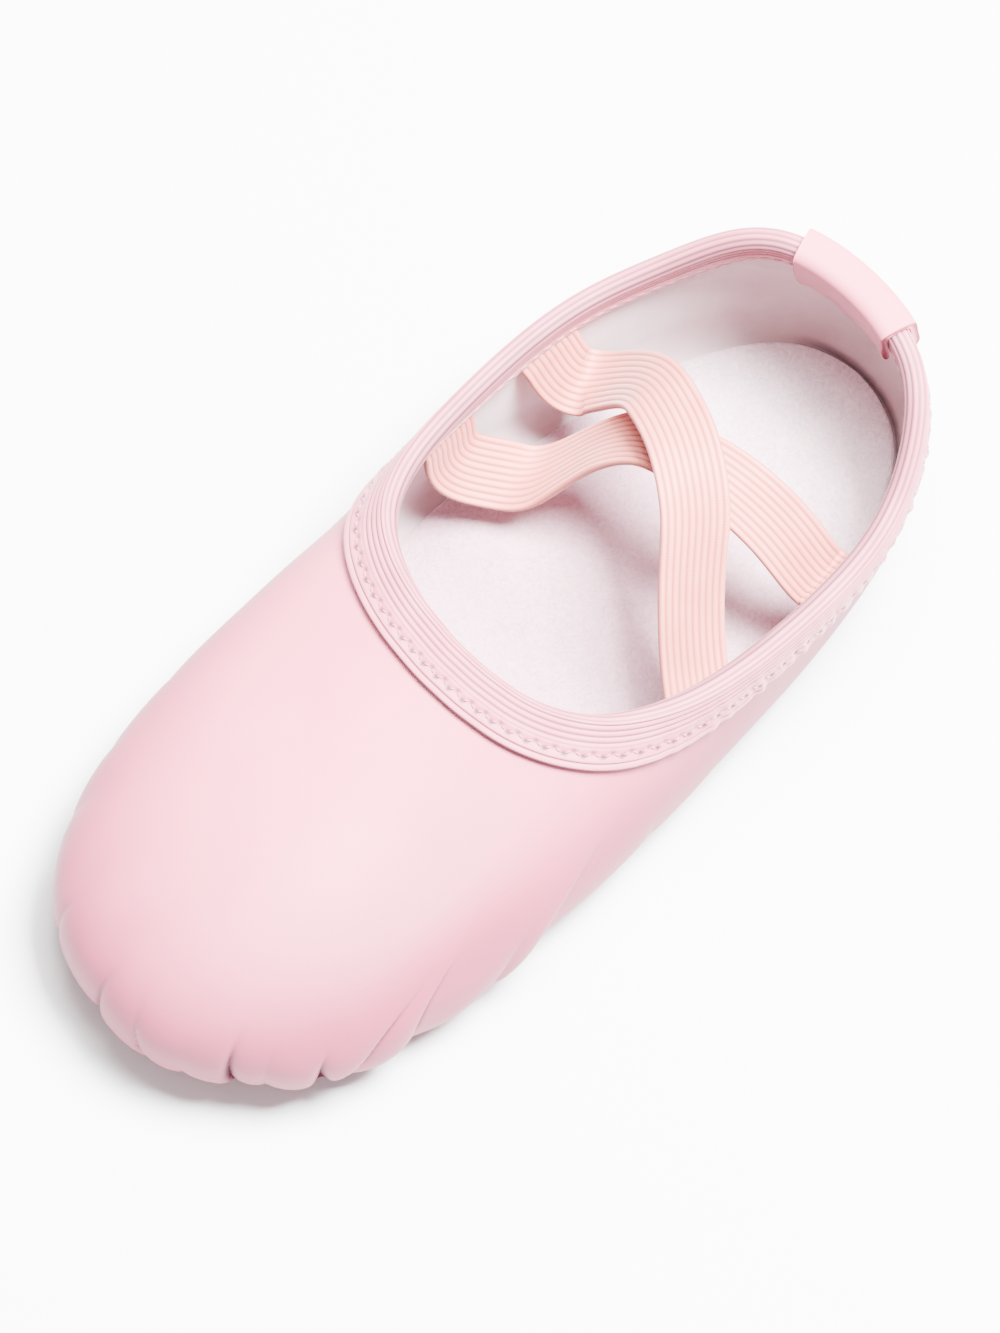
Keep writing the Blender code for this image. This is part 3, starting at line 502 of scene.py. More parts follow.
# %% The upper's grid
HEEL_STEP, TOE_STEP, FINE_FROM = 1 / 15, 1 / 40, 6
side_places = np.concatenate((np.arange(0, FINE_FROM, HEEL_STEP), np.arange(FINE_FROM, TOE_ROW, TOE_STEP)))
PLACES = np.concatenate((side_places, [TOE_ROW], RING_ROWS - side_places[:0:-1]))
CLIMBS = np.concatenate((np.linspace(-1, -FLAT_START, 4)[:-1], np.linspace(-FLAT_START, 0, 22)[:-1],
                         np.linspace(0, 1, 37)))
grid_at, grid_climb = np.meshgrid(PLACES, CLIMBS, indexing="ij")
leather = smooth_upper(grid_at, grid_climb)
leather_out = outward(grid_at, grid_climb)
stand_out, fold_shade = pleats(grid_at, grid_climb)
stand_out = stand_out - creases(leather, CREASES) * smooth_step((1 - grid_climb) / 0.15)
outer_face = leather + leather_out * stand_out[..., None]
print("upper grid:", grid_at.shape, "deepest fold in mm:", round(float(-stand_out.min() / MM), 2))

# Painted shade: the leather is darkened towards the sole by its climb. The outer side faces the floor more and
# gets less light, so there it counts as lower and gets more of the painted shade.
OUTER_SHADE_SHIFT = 0.22
outer_side = smooth_step((TOE_ROW - grid_at - 0.5) / 3.0) * smooth_step((grid_at - 3.5) / 2.0)
shade_climb = grid_climb - OUTER_SHADE_SHIFT * outer_side

# %% [markdown]
# The lining is glued to the leather but has wrinkles of its own. At the heel a dark line of painted shadow
# shows where it parts from the sock. Where the leather sinks into a fold, the lining is pushed further in,
# so that it never comes through.

# %% The lining's grid
LINING_CREASES = (
    (((19.3, 0.80), (19.7, 0.55), (20.4, 0.35)), 2.2, 0.55),
    (((18.4, 0.85), (18.8, 0.66), (19.3, 0.45)), 2.0, -0.50),
    (((17.4, 0.90), (17.7, 0.75), (18.3, 0.60)), 1.8, 0.45),
    (((22.6, 0.75), (23.6, 0.45), (24.8, 0.30)), 3.0, -0.50),
    (((24.4, 0.72), (25.0, 0.45)), 2.5, 0.45),
    (((0.6, 0.62), (1.4, 0.40), (2.4, 0.30)), 2.6, -0.45),
    (((2.8, 0.70), (3.6, 0.45)), 2.5, 0.40),
)
lining_out = creases(leather, LINING_CREASES) * smooth_step((grid_climb - 0.15) / 0.15)
# Painted shadow: a dark band on the lining round the heel, just above the sock's edge.
near_heel = smooth_step((4.8 - grid_at) / 1.5) + smooth_step((grid_at - 24.6) / 1.0)
GAP_CLIMB, GAP_HALF, FREE_SINK = -0.42, 0.045, 0.85 * MM
heel_gap_shade = near_heel * np.exp(-((grid_climb - GAP_CLIMB) / GAP_HALF) ** 2)
wall = UPPER_WALL + lining_out + np.maximum(-stand_out - FREE_SINK, 0)
inner_face = leather - leather_out * wall[..., None]
print("wall in mm, thinnest and thickest:", np.round([wall.min() / MM, wall.max() / MM], 2))


# %% Join the two faces
def build_upper(materials):
    """Outer and inner grid, closed at the collar and round the two openings, welded under the arch."""
    columns, rows = grid_at.shape
    quads, _ = grid_faces(columns, rows, ring=True)
    shift = columns * rows
    rim = np.arange(columns) * rows + rows - 1
    edge = np.arange(columns) * rows
    rim_next, edge_next = np.roll(rim, -1), np.roll(edge, -1)
    arch = open_share(widest(PLACES)[:, 0], TURN_IN) == 0
    open_here = ~(arch & np.roll(arch, -1))
    faces = np.concatenate((
        quads, quads[:, ::-1] + shift,
        np.stack((rim, rim_next, rim_next + shift, rim + shift), axis=-1),
        np.stack((edge, edge + shift, edge_next + shift, edge_next), axis=-1)[open_here]))
    parts = np.zeros(len(faces), int)
    parts[len(quads):2 * len(quads)] = 1
    twin = np.arange(2 * shift)
    welded = np.flatnonzero(arch & (PLACES > TOE_ROW))
    for layer in (0, shift):
        twin[welded * rows + layer] = ((columns - welded) % columns) * rows + layer
    faces = twin[faces]
    points = np.concatenate((outer_face.reshape(-1, 3), inner_face.reshape(-1, 3)))
    used, faces = np.unique(faces, return_inverse=True)
    faces = faces.reshape(-1, 4)
    # The 'fold' field holds painted shade: shade in the folds of the leather, and the heel gap's shadow on the
    # lining.
    fields = {"fold": np.concatenate((fold_shade.ravel(), heel_gap_shade.ravel()))[used],
              "climb": np.concatenate((shade_climb.ravel(), shade_climb.ravel()))[used]}
    return new_piece("gathered_upper", points[used], faces, materials, ("upper",),
                     fields=fields, parts=parts)


# %% [markdown]
# Coated leather is a soft split hide with a thin film of coloured polyurethane pressed on. The film gives
# the even pale pink and the soft, broad shine. Painted shade deepens its colour towards the sole and on the
# outer side, and inside a fold it is painted dark, as shade, and loses its shine. The grain pressed into the
# film is about 0.5 mm across and very shallow.

# %% Materials of the upper
def coated_leather():
    """Pink polyurethane film on hide: even colour, satin, with a fine pressed grain, and painted shade low
    down and in the folds.
    """
    made, tree, shader = new_material("coated_leather_pink", 0.48, Specular_IOR_Level=0.22)
    place = add(tree, "ShaderNodeTexCoord").outputs["Object"]
    tone, _ = clouded(tree, place, 22 * MM, ((0.30, "#BA6072"), (0.70, "#C1687B")), Detail=3.0)
    # Painted shade: the colour is mixed towards a deep rose towards the sole and on the outer side, where less
    # light falls.
    climb = add(tree, "ShaderNodeAttribute", attribute_name="climb").outputs["Fac"]
    low = add(tree, "ShaderNodeMapRange", {"Value": climb, "From Min": 0.95, "From Max": 0.0, "To Min": 0.0,
                                           "To Max": 0.85}, interpolation_type="SMOOTHSTEP").outputs["Result"]
    sole_shaded = add(tree, "ShaderNodeMix", {"Factor": low, "A": tone, "B": linear("#7C3249")},
                   data_type="RGBA")
    # Painted shade: inside a fold the colour is mixed towards a dark brown-pink and the shine is turned down.
    deep = add(tree, "ShaderNodeAttribute", attribute_name="fold").outputs["Fac"]
    shaded_colour = add(tree, "ShaderNodeMix", {"Factor": deep, "A": sole_shaded.outputs[MIX_COLOUR],
                                         "B": linear("#3A1A24")}, data_type="RGBA")
    shine = add(tree, "ShaderNodeMapRange", {"Value": deep, "To Min": 0.22, "To Max": 0.0}).outputs["Result"]
    tree.links.new(shine, shader.inputs["Specular IOR Level"])
    grain = add(tree, "ShaderNodeTexVoronoi", {"Vector": place, "Scale": 1 / (0.5 * MM)}).outputs["Distance"]
    coat(tree, shader, shaded_colour.outputs[MIX_COLOUR], grain, 0.10, 0.05 * MM)
    return made


def cotton_lining():
    """Off-white cotton drill glued behind the leather: matt, with a faint thread every 0.5 mm."""
    made, tree, shader = new_material("cotton_lining", 0.92, Sheen_Weight=0.25, Sheen_Roughness=0.5)
    place = add(tree, "ShaderNodeTexCoord").outputs["Object"]
    tone, _ = clouded(tree, place, 9 * MM, ((0.30, "#B0959A"), (0.70, "#BBA5A8")), Detail=4.0)
    # Painted shadow: the lining is mixed towards a dark grey along the heel gap.
    gap_shade = add(tree, "ShaderNodeAttribute", attribute_name="fold").outputs["Fac"]
    shaded = add(tree, "ShaderNodeMix", {"Factor": gap_shade, "A": tone, "B": linear("#4C3C40")},
                 data_type="RGBA")
    thread = add(tree, "ShaderNodeTexNoise", {"Vector": place, "Scale": 1 / (0.5 * MM), "Detail": 2.0})
    coat(tree, shader, shaded.outputs[MIX_COLOUR], thread.outputs["Fac"], 0.25, 0.12 * MM)
    return made


LEATHER, LINING = coated_leather(), cotton_lining()
build_upper([LEATHER, LINING])

# %% [markdown]
# The tape over the collar is a knitted elastic, folded in half lengthwise and stitched through. It has four
# fine cords outside near the rim and five over the fold. Then comes a zigzag of stitches with a pinhole at
# each end, a plain band, and a narrow rolled edge. The section is a row of (distance under the rim, depth
# into the wall) points, and every point is found by walking down the leather from the collar's edge.

# %% The collar tape's section
BINDING_OUTSIDE, BINDING_INSIDE = 7.5 * MM, 5 * MM
CORD_PITCH, CORD_HEIGHT, CORDS_END, INNER_CORDS_END = 1.0 * MM, 0.30 * MM, 4.0 * MM, 2.1 * MM
STITCH_MIDDLE, STITCH_SWING, STITCH_PITCH = 4.95 * MM, 0.38 * MM, 2.6 * MM
PINHOLE, PINHOLE_DEPTH, CHANNEL, CHANNEL_DEPTH = 0.38 * MM, 0.20 * MM, 0.6 * MM, 0.15 * MM
EDGE_GROOVE, EDGE_HALF, EDGE_DEPTH = 6.4 * MM, 0.11 * MM, 0.30 * MM
CORD_ROUND = 0.6
LOWEST_TAPE, WALK_STEPS = 0.2, 160  # the tape never reaches below this climb


def climb_below(places, distances):
    """The climb value at each distance under the collar's edge, measured square to that edge."""
    fine = np.linspace(LOWEST_TAPE, 1, WALK_STEPS + 1)
    points = smooth_upper(*np.meshgrid(places, fine, indexing="ij"))
    lengths = np.linalg.norm(np.diff(points, axis=1), axis=-1)
    slope = np.sum(collar_way(places) * unit(points[:, -1] - points[:, -2]), axis=-1)
    travelled = np.cumsum(lengths[:, ::-1], axis=1) * np.sqrt(1 - slope ** 2)[:, None]
    travelled = np.concatenate((np.zeros((len(places), 1)), travelled), axis=1)
    distances = np.broadcast_to(distances, (len(places), np.shape(distances)[-1]))
    return np.array([np.interp(want, have, fine[::-1]) for want, have in zip(distances, travelled)])


def near_collar(places, distance, depth):
    """Points near the collar: under its edge where the distance is plus, over it where it is minus."""
    every_place = np.zeros((len(places), 1))
    distance, depth, _ = np.broadcast_arrays(np.atleast_2d(distance), np.atleast_2d(depth), every_place)
    climb = climb_below(places, np.maximum(distance, 0))
    points = smooth_upper(places[:, None], climb) - depth[..., None] * outward(places[:, None], climb)
    up = unit(np.cross(collar_way(places), outward(places, np.ones(len(places)))))
    up *= np.sign(up[:, 2:3])
    return points + up[:, None, :] * np.maximum(-distance, 0)[..., None]


def cords(distance):
    """How deep in the grooves between the fine cords, from 0 to 1: 1 - |sin(pi distance / pitch)| ^ 0.6."""
    return 1 - np.abs(np.sin(math.pi * distance / CORD_PITCH)) ** CORD_ROUND


print("cord grooves at 0, 0.25 and 0.5 mm:", np.round(cords(np.array((0, 0.25, 0.5)) * MM), 2))


# %% Places evenly spaced along the rim
fine_ring = np.linspace(0, RING_ROWS, 5201)
rim_length = lengths_along(collar(fine_ring))
PERIMETER = rim_length[-1]


def along_rim(length):
    """The place round the shoe at a length along the rim, from the heel."""
    return np.interp(np.mod(length, PERIMETER), rim_length, fine_ring)


# Pitch in mm, share of the height and phase of the three sine waves that make the elastic's small puckers.
PUCKERS, PUCKER_HEIGHT = ((3.1, 1.0, 0.0), (4.7, 0.7, 1.3), (2.2, 0.5, 0.4)), 0.13 * MM


def pucker(places, distance):
    """Sum of sines where the elastic gathers the leather behind the instep, largest at its lower edge."""
    length = np.interp(places, fine_ring, rim_length)[:, None]
    outer = smooth_step((places - 1.0) / 1.0) * smooth_step((7.2 - places) / 2.2)
    inner = smooth_step((RING_ROWS - 1.0 - places) / 1.0) * smooth_step((places - 19.2) / 2.0)
    where = np.maximum(outer, inner)[:, None] + 0.10
    wave = sum(share * np.sin(2 * math.pi * length / (pitch * MM) + phase) for pitch, share, phase in PUCKERS)
    return PUCKER_HEIGHT * where * wave * smooth_step(distance / BINDING_OUTSIDE)


print("rim length in mm:", round(PERIMETER / MM, 1))

# %% The collar tape
TAPE_COLUMNS, RUFFLE_HEIGHT, RUFFLE_PITCH, EDGE_TUCK = 950, 0.25 * MM, 2.3 * MM, 0.35 * MM
tape_lengths = np.arange(TAPE_COLUMNS) / TAPE_COLUMNS * PERIMETER
tape_places = along_rim(tape_lengths)
far = GAP + TAPE_THICKNESS
rim_half = UPPER_WALL / 2 + far
# Rows stand closest together where the groove of the rolled edge is.
outside_down = np.concatenate((np.linspace(0, CORDS_END, 25), np.linspace(4.15, 6.15, 11) * MM,
                               np.array((6.28, 6.34, 6.4, 6.46, 6.52, 6.8, 7.2, 7.45, 7.5)) * MM))
edge_drop = np.array([0.0] * (len(outside_down) - 2) + [0.1, 0.5]) * MM
turn = np.linspace(math.pi / 2, -math.pi / 2, 28)[1:-1]
over_length = math.pi * math.sqrt((far ** 2 + rim_half ** 2) / 2)
over_groove = cords((math.pi / 2 - turn) / math.pi * 5 * CORD_PITCH)
over_distance = -(far - CORD_HEIGHT * over_groove) * np.cos(turn)
over_depth = UPPER_WALL / 2 - (rim_half - CORD_HEIGHT * over_groove) * np.sin(turn)
inside_down = np.linspace(0, BINDING_INSIDE, 16)
inside_groove = cords(inside_down) * (inside_down < INNER_CORDS_END)
inside_depth = UPPER_WALL + far - CORD_HEIGHT * inside_groove
inside_depth[-1] -= EDGE_TUCK
print("length of the tape's fold over the rim in mm:", round(over_length / MM, 2))


def tape_relief(lengths, distance):
    """Height over the plain tape: cords, a stitched channel with pinholes, and the groove of the rolled edge.

    Returns the height and how much painted shade the tape gets there, from 0 to 1.
    """
    groove = cords(distance) * (distance < CORDS_END)
    channel = np.exp(-((distance - STITCH_MIDDLE) / CHANNEL) ** 2)
    roll = np.exp(-((distance - EDGE_GROOVE) / EDGE_HALF) ** 2)
    step = np.round(lengths / (STITCH_PITCH / 2))
    side = np.where(step % 2 == 0, 1, -1)
    apart = np.hypot(lengths - step * STITCH_PITCH / 2, distance - STITCH_MIDDLE - side * STITCH_SWING)
    hole = np.exp(-(apart / PINHOLE) ** 2) * np.where(side > 0, 1.0, 0.6)
    height = -CORD_HEIGHT * groove - CHANNEL_DEPTH * channel - EDGE_DEPTH * roll - PINHOLE_DEPTH * hole
    return height, np.clip(0.65 * groove + 0.10 * channel + 0.75 * roll + 1.3 * hole, 0, 1)


rim_grid, down_grid = np.meshgrid(tape_lengths, outside_down, indexing="ij")
relief, outside_shade = tape_relief(rim_grid, down_grid)
wave = pucker(tape_places, down_grid)
outside_points = near_collar(tape_places, outside_down, edge_drop - far - relief - wave)
over_points = near_collar(tape_places, over_distance, over_depth)
ruffle = RUFFLE_HEIGHT * np.sin(2 * math.pi * tape_lengths / RUFFLE_PITCH)
inside_rows = inside_down + ruffle[:, None] * (inside_down / BINDING_INSIDE) ** 4
inside_points = near_collar(tape_places, inside_rows, inside_depth)
# The tape's inner face, which only has to close the shape: down both sides of the wall and over its edge.
hidden = ((BINDING_INSIDE, UPPER_WALL + GAP), (0.0, UPPER_WALL + GAP), (-GAP, 0.75 * UPPER_WALL),
          (-GAP, 0.25 * UPPER_WALL), (0.0, -GAP), (0.5 * BINDING_OUTSIDE, -GAP), (BINDING_OUTSIDE, -GAP))
hidden_points = near_collar(tape_places, *(np.array(column) for column in zip(*hidden)))
tape_points = np.concatenate((outside_points[:, ::-1], over_points, inside_points, hidden_points), axis=1)
# Painted shade: a little over all the inner face and more in its grooves, and more on the inner half of the
# fold over the rim.
inside_shade = 0.10 + 0.60 * inside_groove
over_shade = np.clip(1.10 * over_groove + 0.50 * smooth_step((0.25 - turn) / 1.1), 0, 1)
shade_rows = np.concatenate((over_shade, inside_shade, np.ones(len(hidden))))
tape_shade = np.concatenate((outside_shade[:, ::-1], np.tile(shade_rows, (TAPE_COLUMNS, 1))), axis=1)
# Painted shadow: the two rows at the tape's cut edge are fully shaded, for the dark line along that edge.
tape_shade[:, :2] = 1.0  # the cut edge
print("tape grid:", tape_points.shape)


# %% [markdown]
# Elastic of this kind is knitted nylon over rubber threads. The nylon is satin and slightly fuzzy, and the
# grooves between the threads are darker because little light gets in. Across the threads run fine rows of
# knitting, which a wave pattern draws along the piece's own UV map. They stand 0.45 mm apart, coarser than
# real, so that they show.

# %% Elastic materials
WEFT_PITCH = 0.45 * MM


def knitted_elastic(name, dark, pale, painted_hollow_shade):
    """Nylon over rubber threads: satin, with fine cross rows, and painted shade down in the grooves."""
    made, tree, shader = new_material(name, 0.62, Sheen_Weight=0.30, Sheen_Roughness=0.4)
    place = add(tree, "ShaderNodeTexCoord").outputs
    tone, _ = clouded(tree, place["Object"], 7 * MM, ((0.30, dark), (0.70, pale)), Detail=3.0)
    deep = add(tree, "ShaderNodeAttribute", attribute_name="painted_hollow_shade").outputs["Fac"]
    shaded_colour = add(tree, "ShaderNodeMix", {"Factor": deep, "A": tone, "B": linear(painted_hollow_shade)}, data_type="RGBA")
    weft = add(tree, "ShaderNodeTexWave", {"Vector": place["UV"], "Scale": 1 / (math.pi * WEFT_PITCH),
                                           "Distortion": 0.6, "Detail": 1.0}, bands_direction="X")
    coat(tree, shader, shaded_colour.outputs[MIX_COLOUR], weft.outputs["Fac"], 0.25, 0.05 * MM)
    return made


# The inner leg of the fold is a copy of the tape in a deeper pink: painted shade, tinted by the light that
# the pink itself throws back.
TAPE = knitted_elastic("knitted_elastic_pink", "#AD5969", "#B76473", "#47202C")
TAPE_SHADED = knitted_elastic("knitted_elastic_pink_painted_shade", "#A33E55", "#AD4960", "#47202C")


def tube_uv(lengths, section):
    """UV map of a wrapped grid: u along the piece and v round its section, both in metres."""
    u, v = np.meshgrid(lengths, section, indexing="ij")
    return np.stack((u, v), axis=-1).reshape(-1, 2)


def section_lengths(points):
    """Length round the first section of a tube, back to where it began."""
    return lengths_along(np.vstack((points[0], points[0][:1])))


tape_quads, tape_plain = grid_faces(*tape_points.shape[:2], ring=True, tube=True)
tape_uv = tube_uv(np.append(tape_lengths, PERIMETER), section_lengths(tape_points))
tape_row = np.arange(len(tape_quads)) % tape_points.shape[1] - outside_points.shape[1] - over_points.shape[1]
new_piece("collar_tape", tape_points.reshape(-1, 3), tape_quads, [TAPE, TAPE_SHADED],
          ("collar_binding",), uv=tape_uv[tape_plain], fields={"painted_hollow_shade": tape_shade},
          parts=(tape_row >= 0) & (tape_row < inside_points.shape[1]))

# %% [markdown]
# The stitches are real pieces of thread, so each is a short bent tube: five rings of six points, with both
# ends thinner and pulled into the tape.

# %% Threads
THREAD, THREAD_RINGS, THREAD_SIDES = 0.28 * MM, 5, 6
SUNK = 0.26  # share of a stitch that is hidden in each pinhole


def sewing_thread():
    """Twisted polyester thread in the tape's own pink: slightly shiny, mottled by its twist."""
    made, tree, shader = new_material("polyester_thread_pink", 0.5, Sheen_Weight=0.2)
    place = add(tree, "ShaderNodeTexCoord").outputs["Object"]
    twist, _ = clouded(tree, place, 0.4 * MM, ((0.35, "#AD5969"), (0.65, "#BB6878")))
    tree.links.new(twist, shader.inputs["Base Color"])
    return made


THREADS = sewing_thread()


def stitches(name, starts, ends, normals, lift, sink, slot, radius=THREAD / 2):
    """Short bent tubes from starts to ends: the line rises by lift sin(pi s) and sinks at both ends."""
    s = np.linspace(0, 1, THREAD_RINGS)
    line = starts[:, None] + (ends - starts)[:, None] * s[:, None]
    rise = lift * np.sin(math.pi * s) - sink * (np.abs(2 * s - 1) ** 4)
    line = line + normals[:, None] * rise[:, None]
    along = unit(ends - starts)
    across = unit(np.cross(along, normals))
    turn = np.arange(THREAD_SIDES) / THREAD_SIDES * math.tau
    thick = radius * (1 - 0.35 * np.abs(2 * s - 1) ** 3)
    ring = across[:, None, None] * np.cos(turn)[:, None] + normals[:, None, None] * np.sin(turn)[:, None]
    points = line[:, :, None] + ring * thick[:, None, None]
    quads, _ = grid_faces(THREAD_RINGS, THREAD_SIDES, tube=True)
    end_quads = np.array(((0, 1, 2, 3), (0, 3, 4, 5), (27, 26, 25, 24), (29, 28, 27, 24)))
    if enclosed_volume(points[0].reshape(-1, 3), quads) > 0:
        end_quads = end_quads[:, ::-1]
    first_points = THREAD_RINGS * THREAD_SIDES * np.arange(len(starts))
    faces = (np.concatenate((quads, end_quads)) + first_points[:, None, None]).reshape(-1, 4)
    return new_piece(name, points.reshape(-1, 3), faces, [THREADS])


count = int(round(PERIMETER / STITCH_PITCH)) * 2
knots = np.arange(count) * PERIMETER / count
knot_places = along_rim(knots)
knot_side = np.where(np.arange(count) % 2 == 0, 1, -1)
knot_down = STITCH_MIDDLE + knot_side * STITCH_SWING
knot_down = knot_down[:, None]
knot_points = near_collar(knot_places, knot_down, -far - pucker(knot_places, knot_down))[:, 0]
knot_normals = outward(knot_places, climb_below(knot_places, knot_down)[:, 0])
next_knots = np.roll(knot_points, -1, axis=0)
stitches("collar_stitches", (1 - SUNK) * knot_points + SUNK * next_knots,
         SUNK * knot_points + (1 - SUNK) * next_knots, knot_normals, 0.0, 0.20 * MM, "elastic_tape")
# On the inner leg the stitches are a straight dashed line, 3.6 mm under the rim and just clear of the tape.
INNER_SEAM, INNER_LIFT, INNER_DASH = 3.6 * MM, 0.02 * MM, 0.75
inner_knots = (np.arange(count // 2)[:, None] + np.array((0.0, INNER_DASH))) * 2 * PERIMETER / count
inner_ends = [near_collar(along_rim(length), INNER_SEAM, UPPER_WALL + far + INNER_LIFT)[:, 0]
              for length in inner_knots.T]
inner_normals = -outward(along_rim(inner_knots[:, 0]), 0.92)
stitches("collar_stitches_inside", *inner_ends, inner_normals, 0.0, 0.15 * MM, "elastic_tape")

# %% [markdown]
# The straps are woven elastic 11.5 mm wide, with ten rubber cords running along them. Each strap is one
# flat section carried along a smooth line. It rises off the lining, bends and twists across the instep, and
# its ends are sewn in under the tape. The stations give the line as shares of the way across, as in the
# solids.

# %% Strap lines
# The two tables' columns: share of the way across, shares of the swing towards the toe and of the rise, and
# two angles in degrees, the turn in plan and the tilt.
STRAP_WIDTH, STRAP_SWING, STRAP_RISE = 11.5 * MM, 16 * MM, 17 * MM
STRAP_CLEAR, STRAP_TUCK, STRAP_SEAT, STRAP_LEAVE = 1.0 * MM, 2.4 * MM, 4.5 * MM, 2.0 * MM
HIDDEN_END, HIDDEN_DEPTH = 3.6 * MM, 0.35 * MM
STRAP_TOP_ROWS, STRAP_UNDER_ROWS = (3.80, 5.42), (5.25, 3.58)
STRAP_TOP = np.array((
    (0.10, -0.34, -0.32, 12, -12),
    (0.19, -0.59, 0.10, 14, -2),
    (0.28, -0.72, 0.52, 8, 4),
    (0.37, -0.73, 0.76, -5, 3),
    (0.47, -0.71, 0.94, -15, -2),
    (0.57, -0.64, 0.94, -26, 2),
    (0.66, -0.52, 0.79, -32, 10),
    (0.73, -0.32, 0.53, -33, 18),
    (0.82, -0.11, 0.18, -29, 18),
    (0.90, 0.01, -0.12, -20, 8),
))
STRAP_UNDER = np.array((
    (0.10, -0.05, -0.44, 4, -12),
    (0.17, -0.14, -0.49, 16, -4),
    (0.22, -0.29, -0.35, 27, 8),
    (0.26, -0.44, -0.10, 35, 22),
    (0.31, -0.57, 0.18, 38, 28),
    (0.39, -0.63, 0.47, 42, 24),
    (0.50, -0.56, 0.56, 38, 12),
    (0.61, -0.47, 0.56, 24, -4),
    (0.73, -0.35, 0.44, 14, -10),
    (0.84, -0.22, 0.21, 6, -12),
    (0.92, -0.11, -0.06, 2, -8),
))


def strap_seat(place, distances, depths):
    """Stations of a strap on the lining, at distances under the rim and depths into the wall."""
    places = np.array([place])
    points = near_collar(places, np.array(distances)[None], UPPER_WALL + np.array(depths)[None])[0]
    wide = collar_way(places)[0]
    wide = wide * np.sign(wide[0])
    turn = math.degrees(math.atan2(wide[1], wide[0]))
    tilt = math.degrees(math.atan2(wide[2], math.hypot(wide[0], wide[1])))
    return np.column_stack((points, [turn] * len(points), [tilt] * len(points)))


def strap_line(rows, table):
    """All stations of a strap, from its end under the tape on the inner side to the one on the outer."""
    start = BINDING_INSIDE + STRAP_TUCK
    middle_depth = STRAP_CLEAR + STRAP_THICKNESS / 2
    distances = (start - HIDDEN_END, start, start + STRAP_SEAT)
    depths = (HIDDEN_DEPTH, middle_depth, middle_depth + STRAP_LEAVE)
    inner = strap_seat(RING_ROWS - rows[0], distances, depths)
    outer = strap_seat(rows[1], distances, depths)
    middle = inner[1, :3] + table[:, :1] * (outer[1, :3] - inner[1, :3])
    middle[:, 0] += table[:, 1] * STRAP_SWING
    middle[:, 2] += table[:, 2] * STRAP_RISE
    return np.concatenate((inner, np.hstack((middle, table[:, 3:])), outer[::-1]))


print("stations of the straps:", len(STRAP_TOP) + 6, "and", len(STRAP_UNDER) + 6)


# %% Straps
STRAP_CORDS, STRAP_COLUMNS, EASE_REACH = 10, 220, 14
CORE_SHARE, EDGE_SHARE, END_SHARE, HOLLOW_SHADE = 0.62, 0.35, 0.45, 0.85
ELASTIC = knitted_elastic("knitted_elastic_peach", "#BB665E", "#C6736A", "#7E3028")


def eased(values):
    """Stations averaged with their neighbours k by the weights exp(-(k / 7)^2); the ends stay in place."""
    k = np.arange(-EASE_REACH, EASE_REACH + 1)
    weights = np.exp(-(k / (EASE_REACH / 2)) ** 2)
    front = 2 * values[0] - values[EASE_REACH:0:-1]
    back = 2 * values[-1] - values[-2:-EASE_REACH - 2:-1]
    padded = np.concatenate((front, values, back))
    weights = weights / weights.sum()
    return np.stack([np.convolve(column, weights, mode="valid") for column in padded.T], axis=1)


def build_strap(name, rows, table, node):
    """A strap: a flat section with ten rounded cords on both faces, each as thick as 0.62 + 0.38 |sin| ^ 0.6.

    It thins to its long edges as a square root and to its two ends as an ease, so both go in under the tape.
    """
    knots = strap_line(rows, table)
    values = eased(spline(knots, np.linspace(0, len(knots) - 1, STRAP_COLUMNS), closed=False))
    middle, turn, tilt = values[:, :3], np.radians(values[:, 3]), np.radians(values[:, 4])
    wide = np.stack((np.cos(turn) * np.cos(tilt), np.sin(turn) * np.cos(tilt), np.sin(tilt)), axis=-1)
    ahead = unit(np.gradient(middle, axis=0))
    wide = unit(wide - ahead * np.sum(wide * ahead, axis=-1, keepdims=True))
    face = np.cross(ahead, wide)
    across = np.linspace(-1, 1, STRAP_CORDS * 8 + 1)
    rib = np.abs(np.sin(math.pi * STRAP_CORDS * (across + 1) / 2)) ** CORD_ROUND
    edge = np.clip((1 - np.abs(across)) / 0.05, 0, 1) ** 0.5
    thick = (STRAP_THICKNESS / 2 * (CORE_SHARE + (1 - CORE_SHARE) * rib)
             * (EDGE_SHARE + (1 - EDGE_SHARE) * edge))
    ends = np.minimum(np.arange(STRAP_COLUMNS), np.arange(STRAP_COLUMNS)[::-1]) / STRAP_COLUMNS
    taper = END_SHARE + (1 - END_SHARE) * smooth_step(ends / 0.06)
    section_wide = np.concatenate((across, across[::-1])) * STRAP_WIDTH / 2
    section_thick = np.concatenate((thick, -thick[::-1]))
    painted_hollow_shade = np.concatenate((1 - rib, (1 - rib)[::-1])) * HOLLOW_SHADE
    points = (middle[:, None] + wide[:, None] * section_wide[:, None]
              + face[:, None] * section_thick[:, None] * taper[:, None, None])
    columns, ring = points.shape[:2]
    quads, plain = grid_faces(columns, ring, tube=True)
    lengths = lengths_along(middle)
    print(name, "length in mm:", round(lengths[-1] / MM, 1))
    uv = tube_uv(lengths, section_lengths(points))
    return new_piece(name, points.reshape(-1, 3), quads, [ELASTIC], (node,),
                     caps=end_caps(columns, ring), uv=uv[plain], fields={"painted_hollow_shade": np.tile(painted_hollow_shade, columns)})


build_strap("instep_strap_top", STRAP_TOP_ROWS, STRAP_TOP, "strap_top")
build_strap("instep_strap_under", STRAP_UNDER_ROWS, STRAP_UNDER, "strap_under")

# %% [markdown]
# A small loop of smooth leather is folded over the tape at the back of the heel. It covers the joint in the
# tape and gives something to pull. Its inner leg ends a little unevenly, as a cut end of soft leather does.
# Its section is a path of a few corners, rounded by cutting them, and is carried along the collar like the
# tape's.

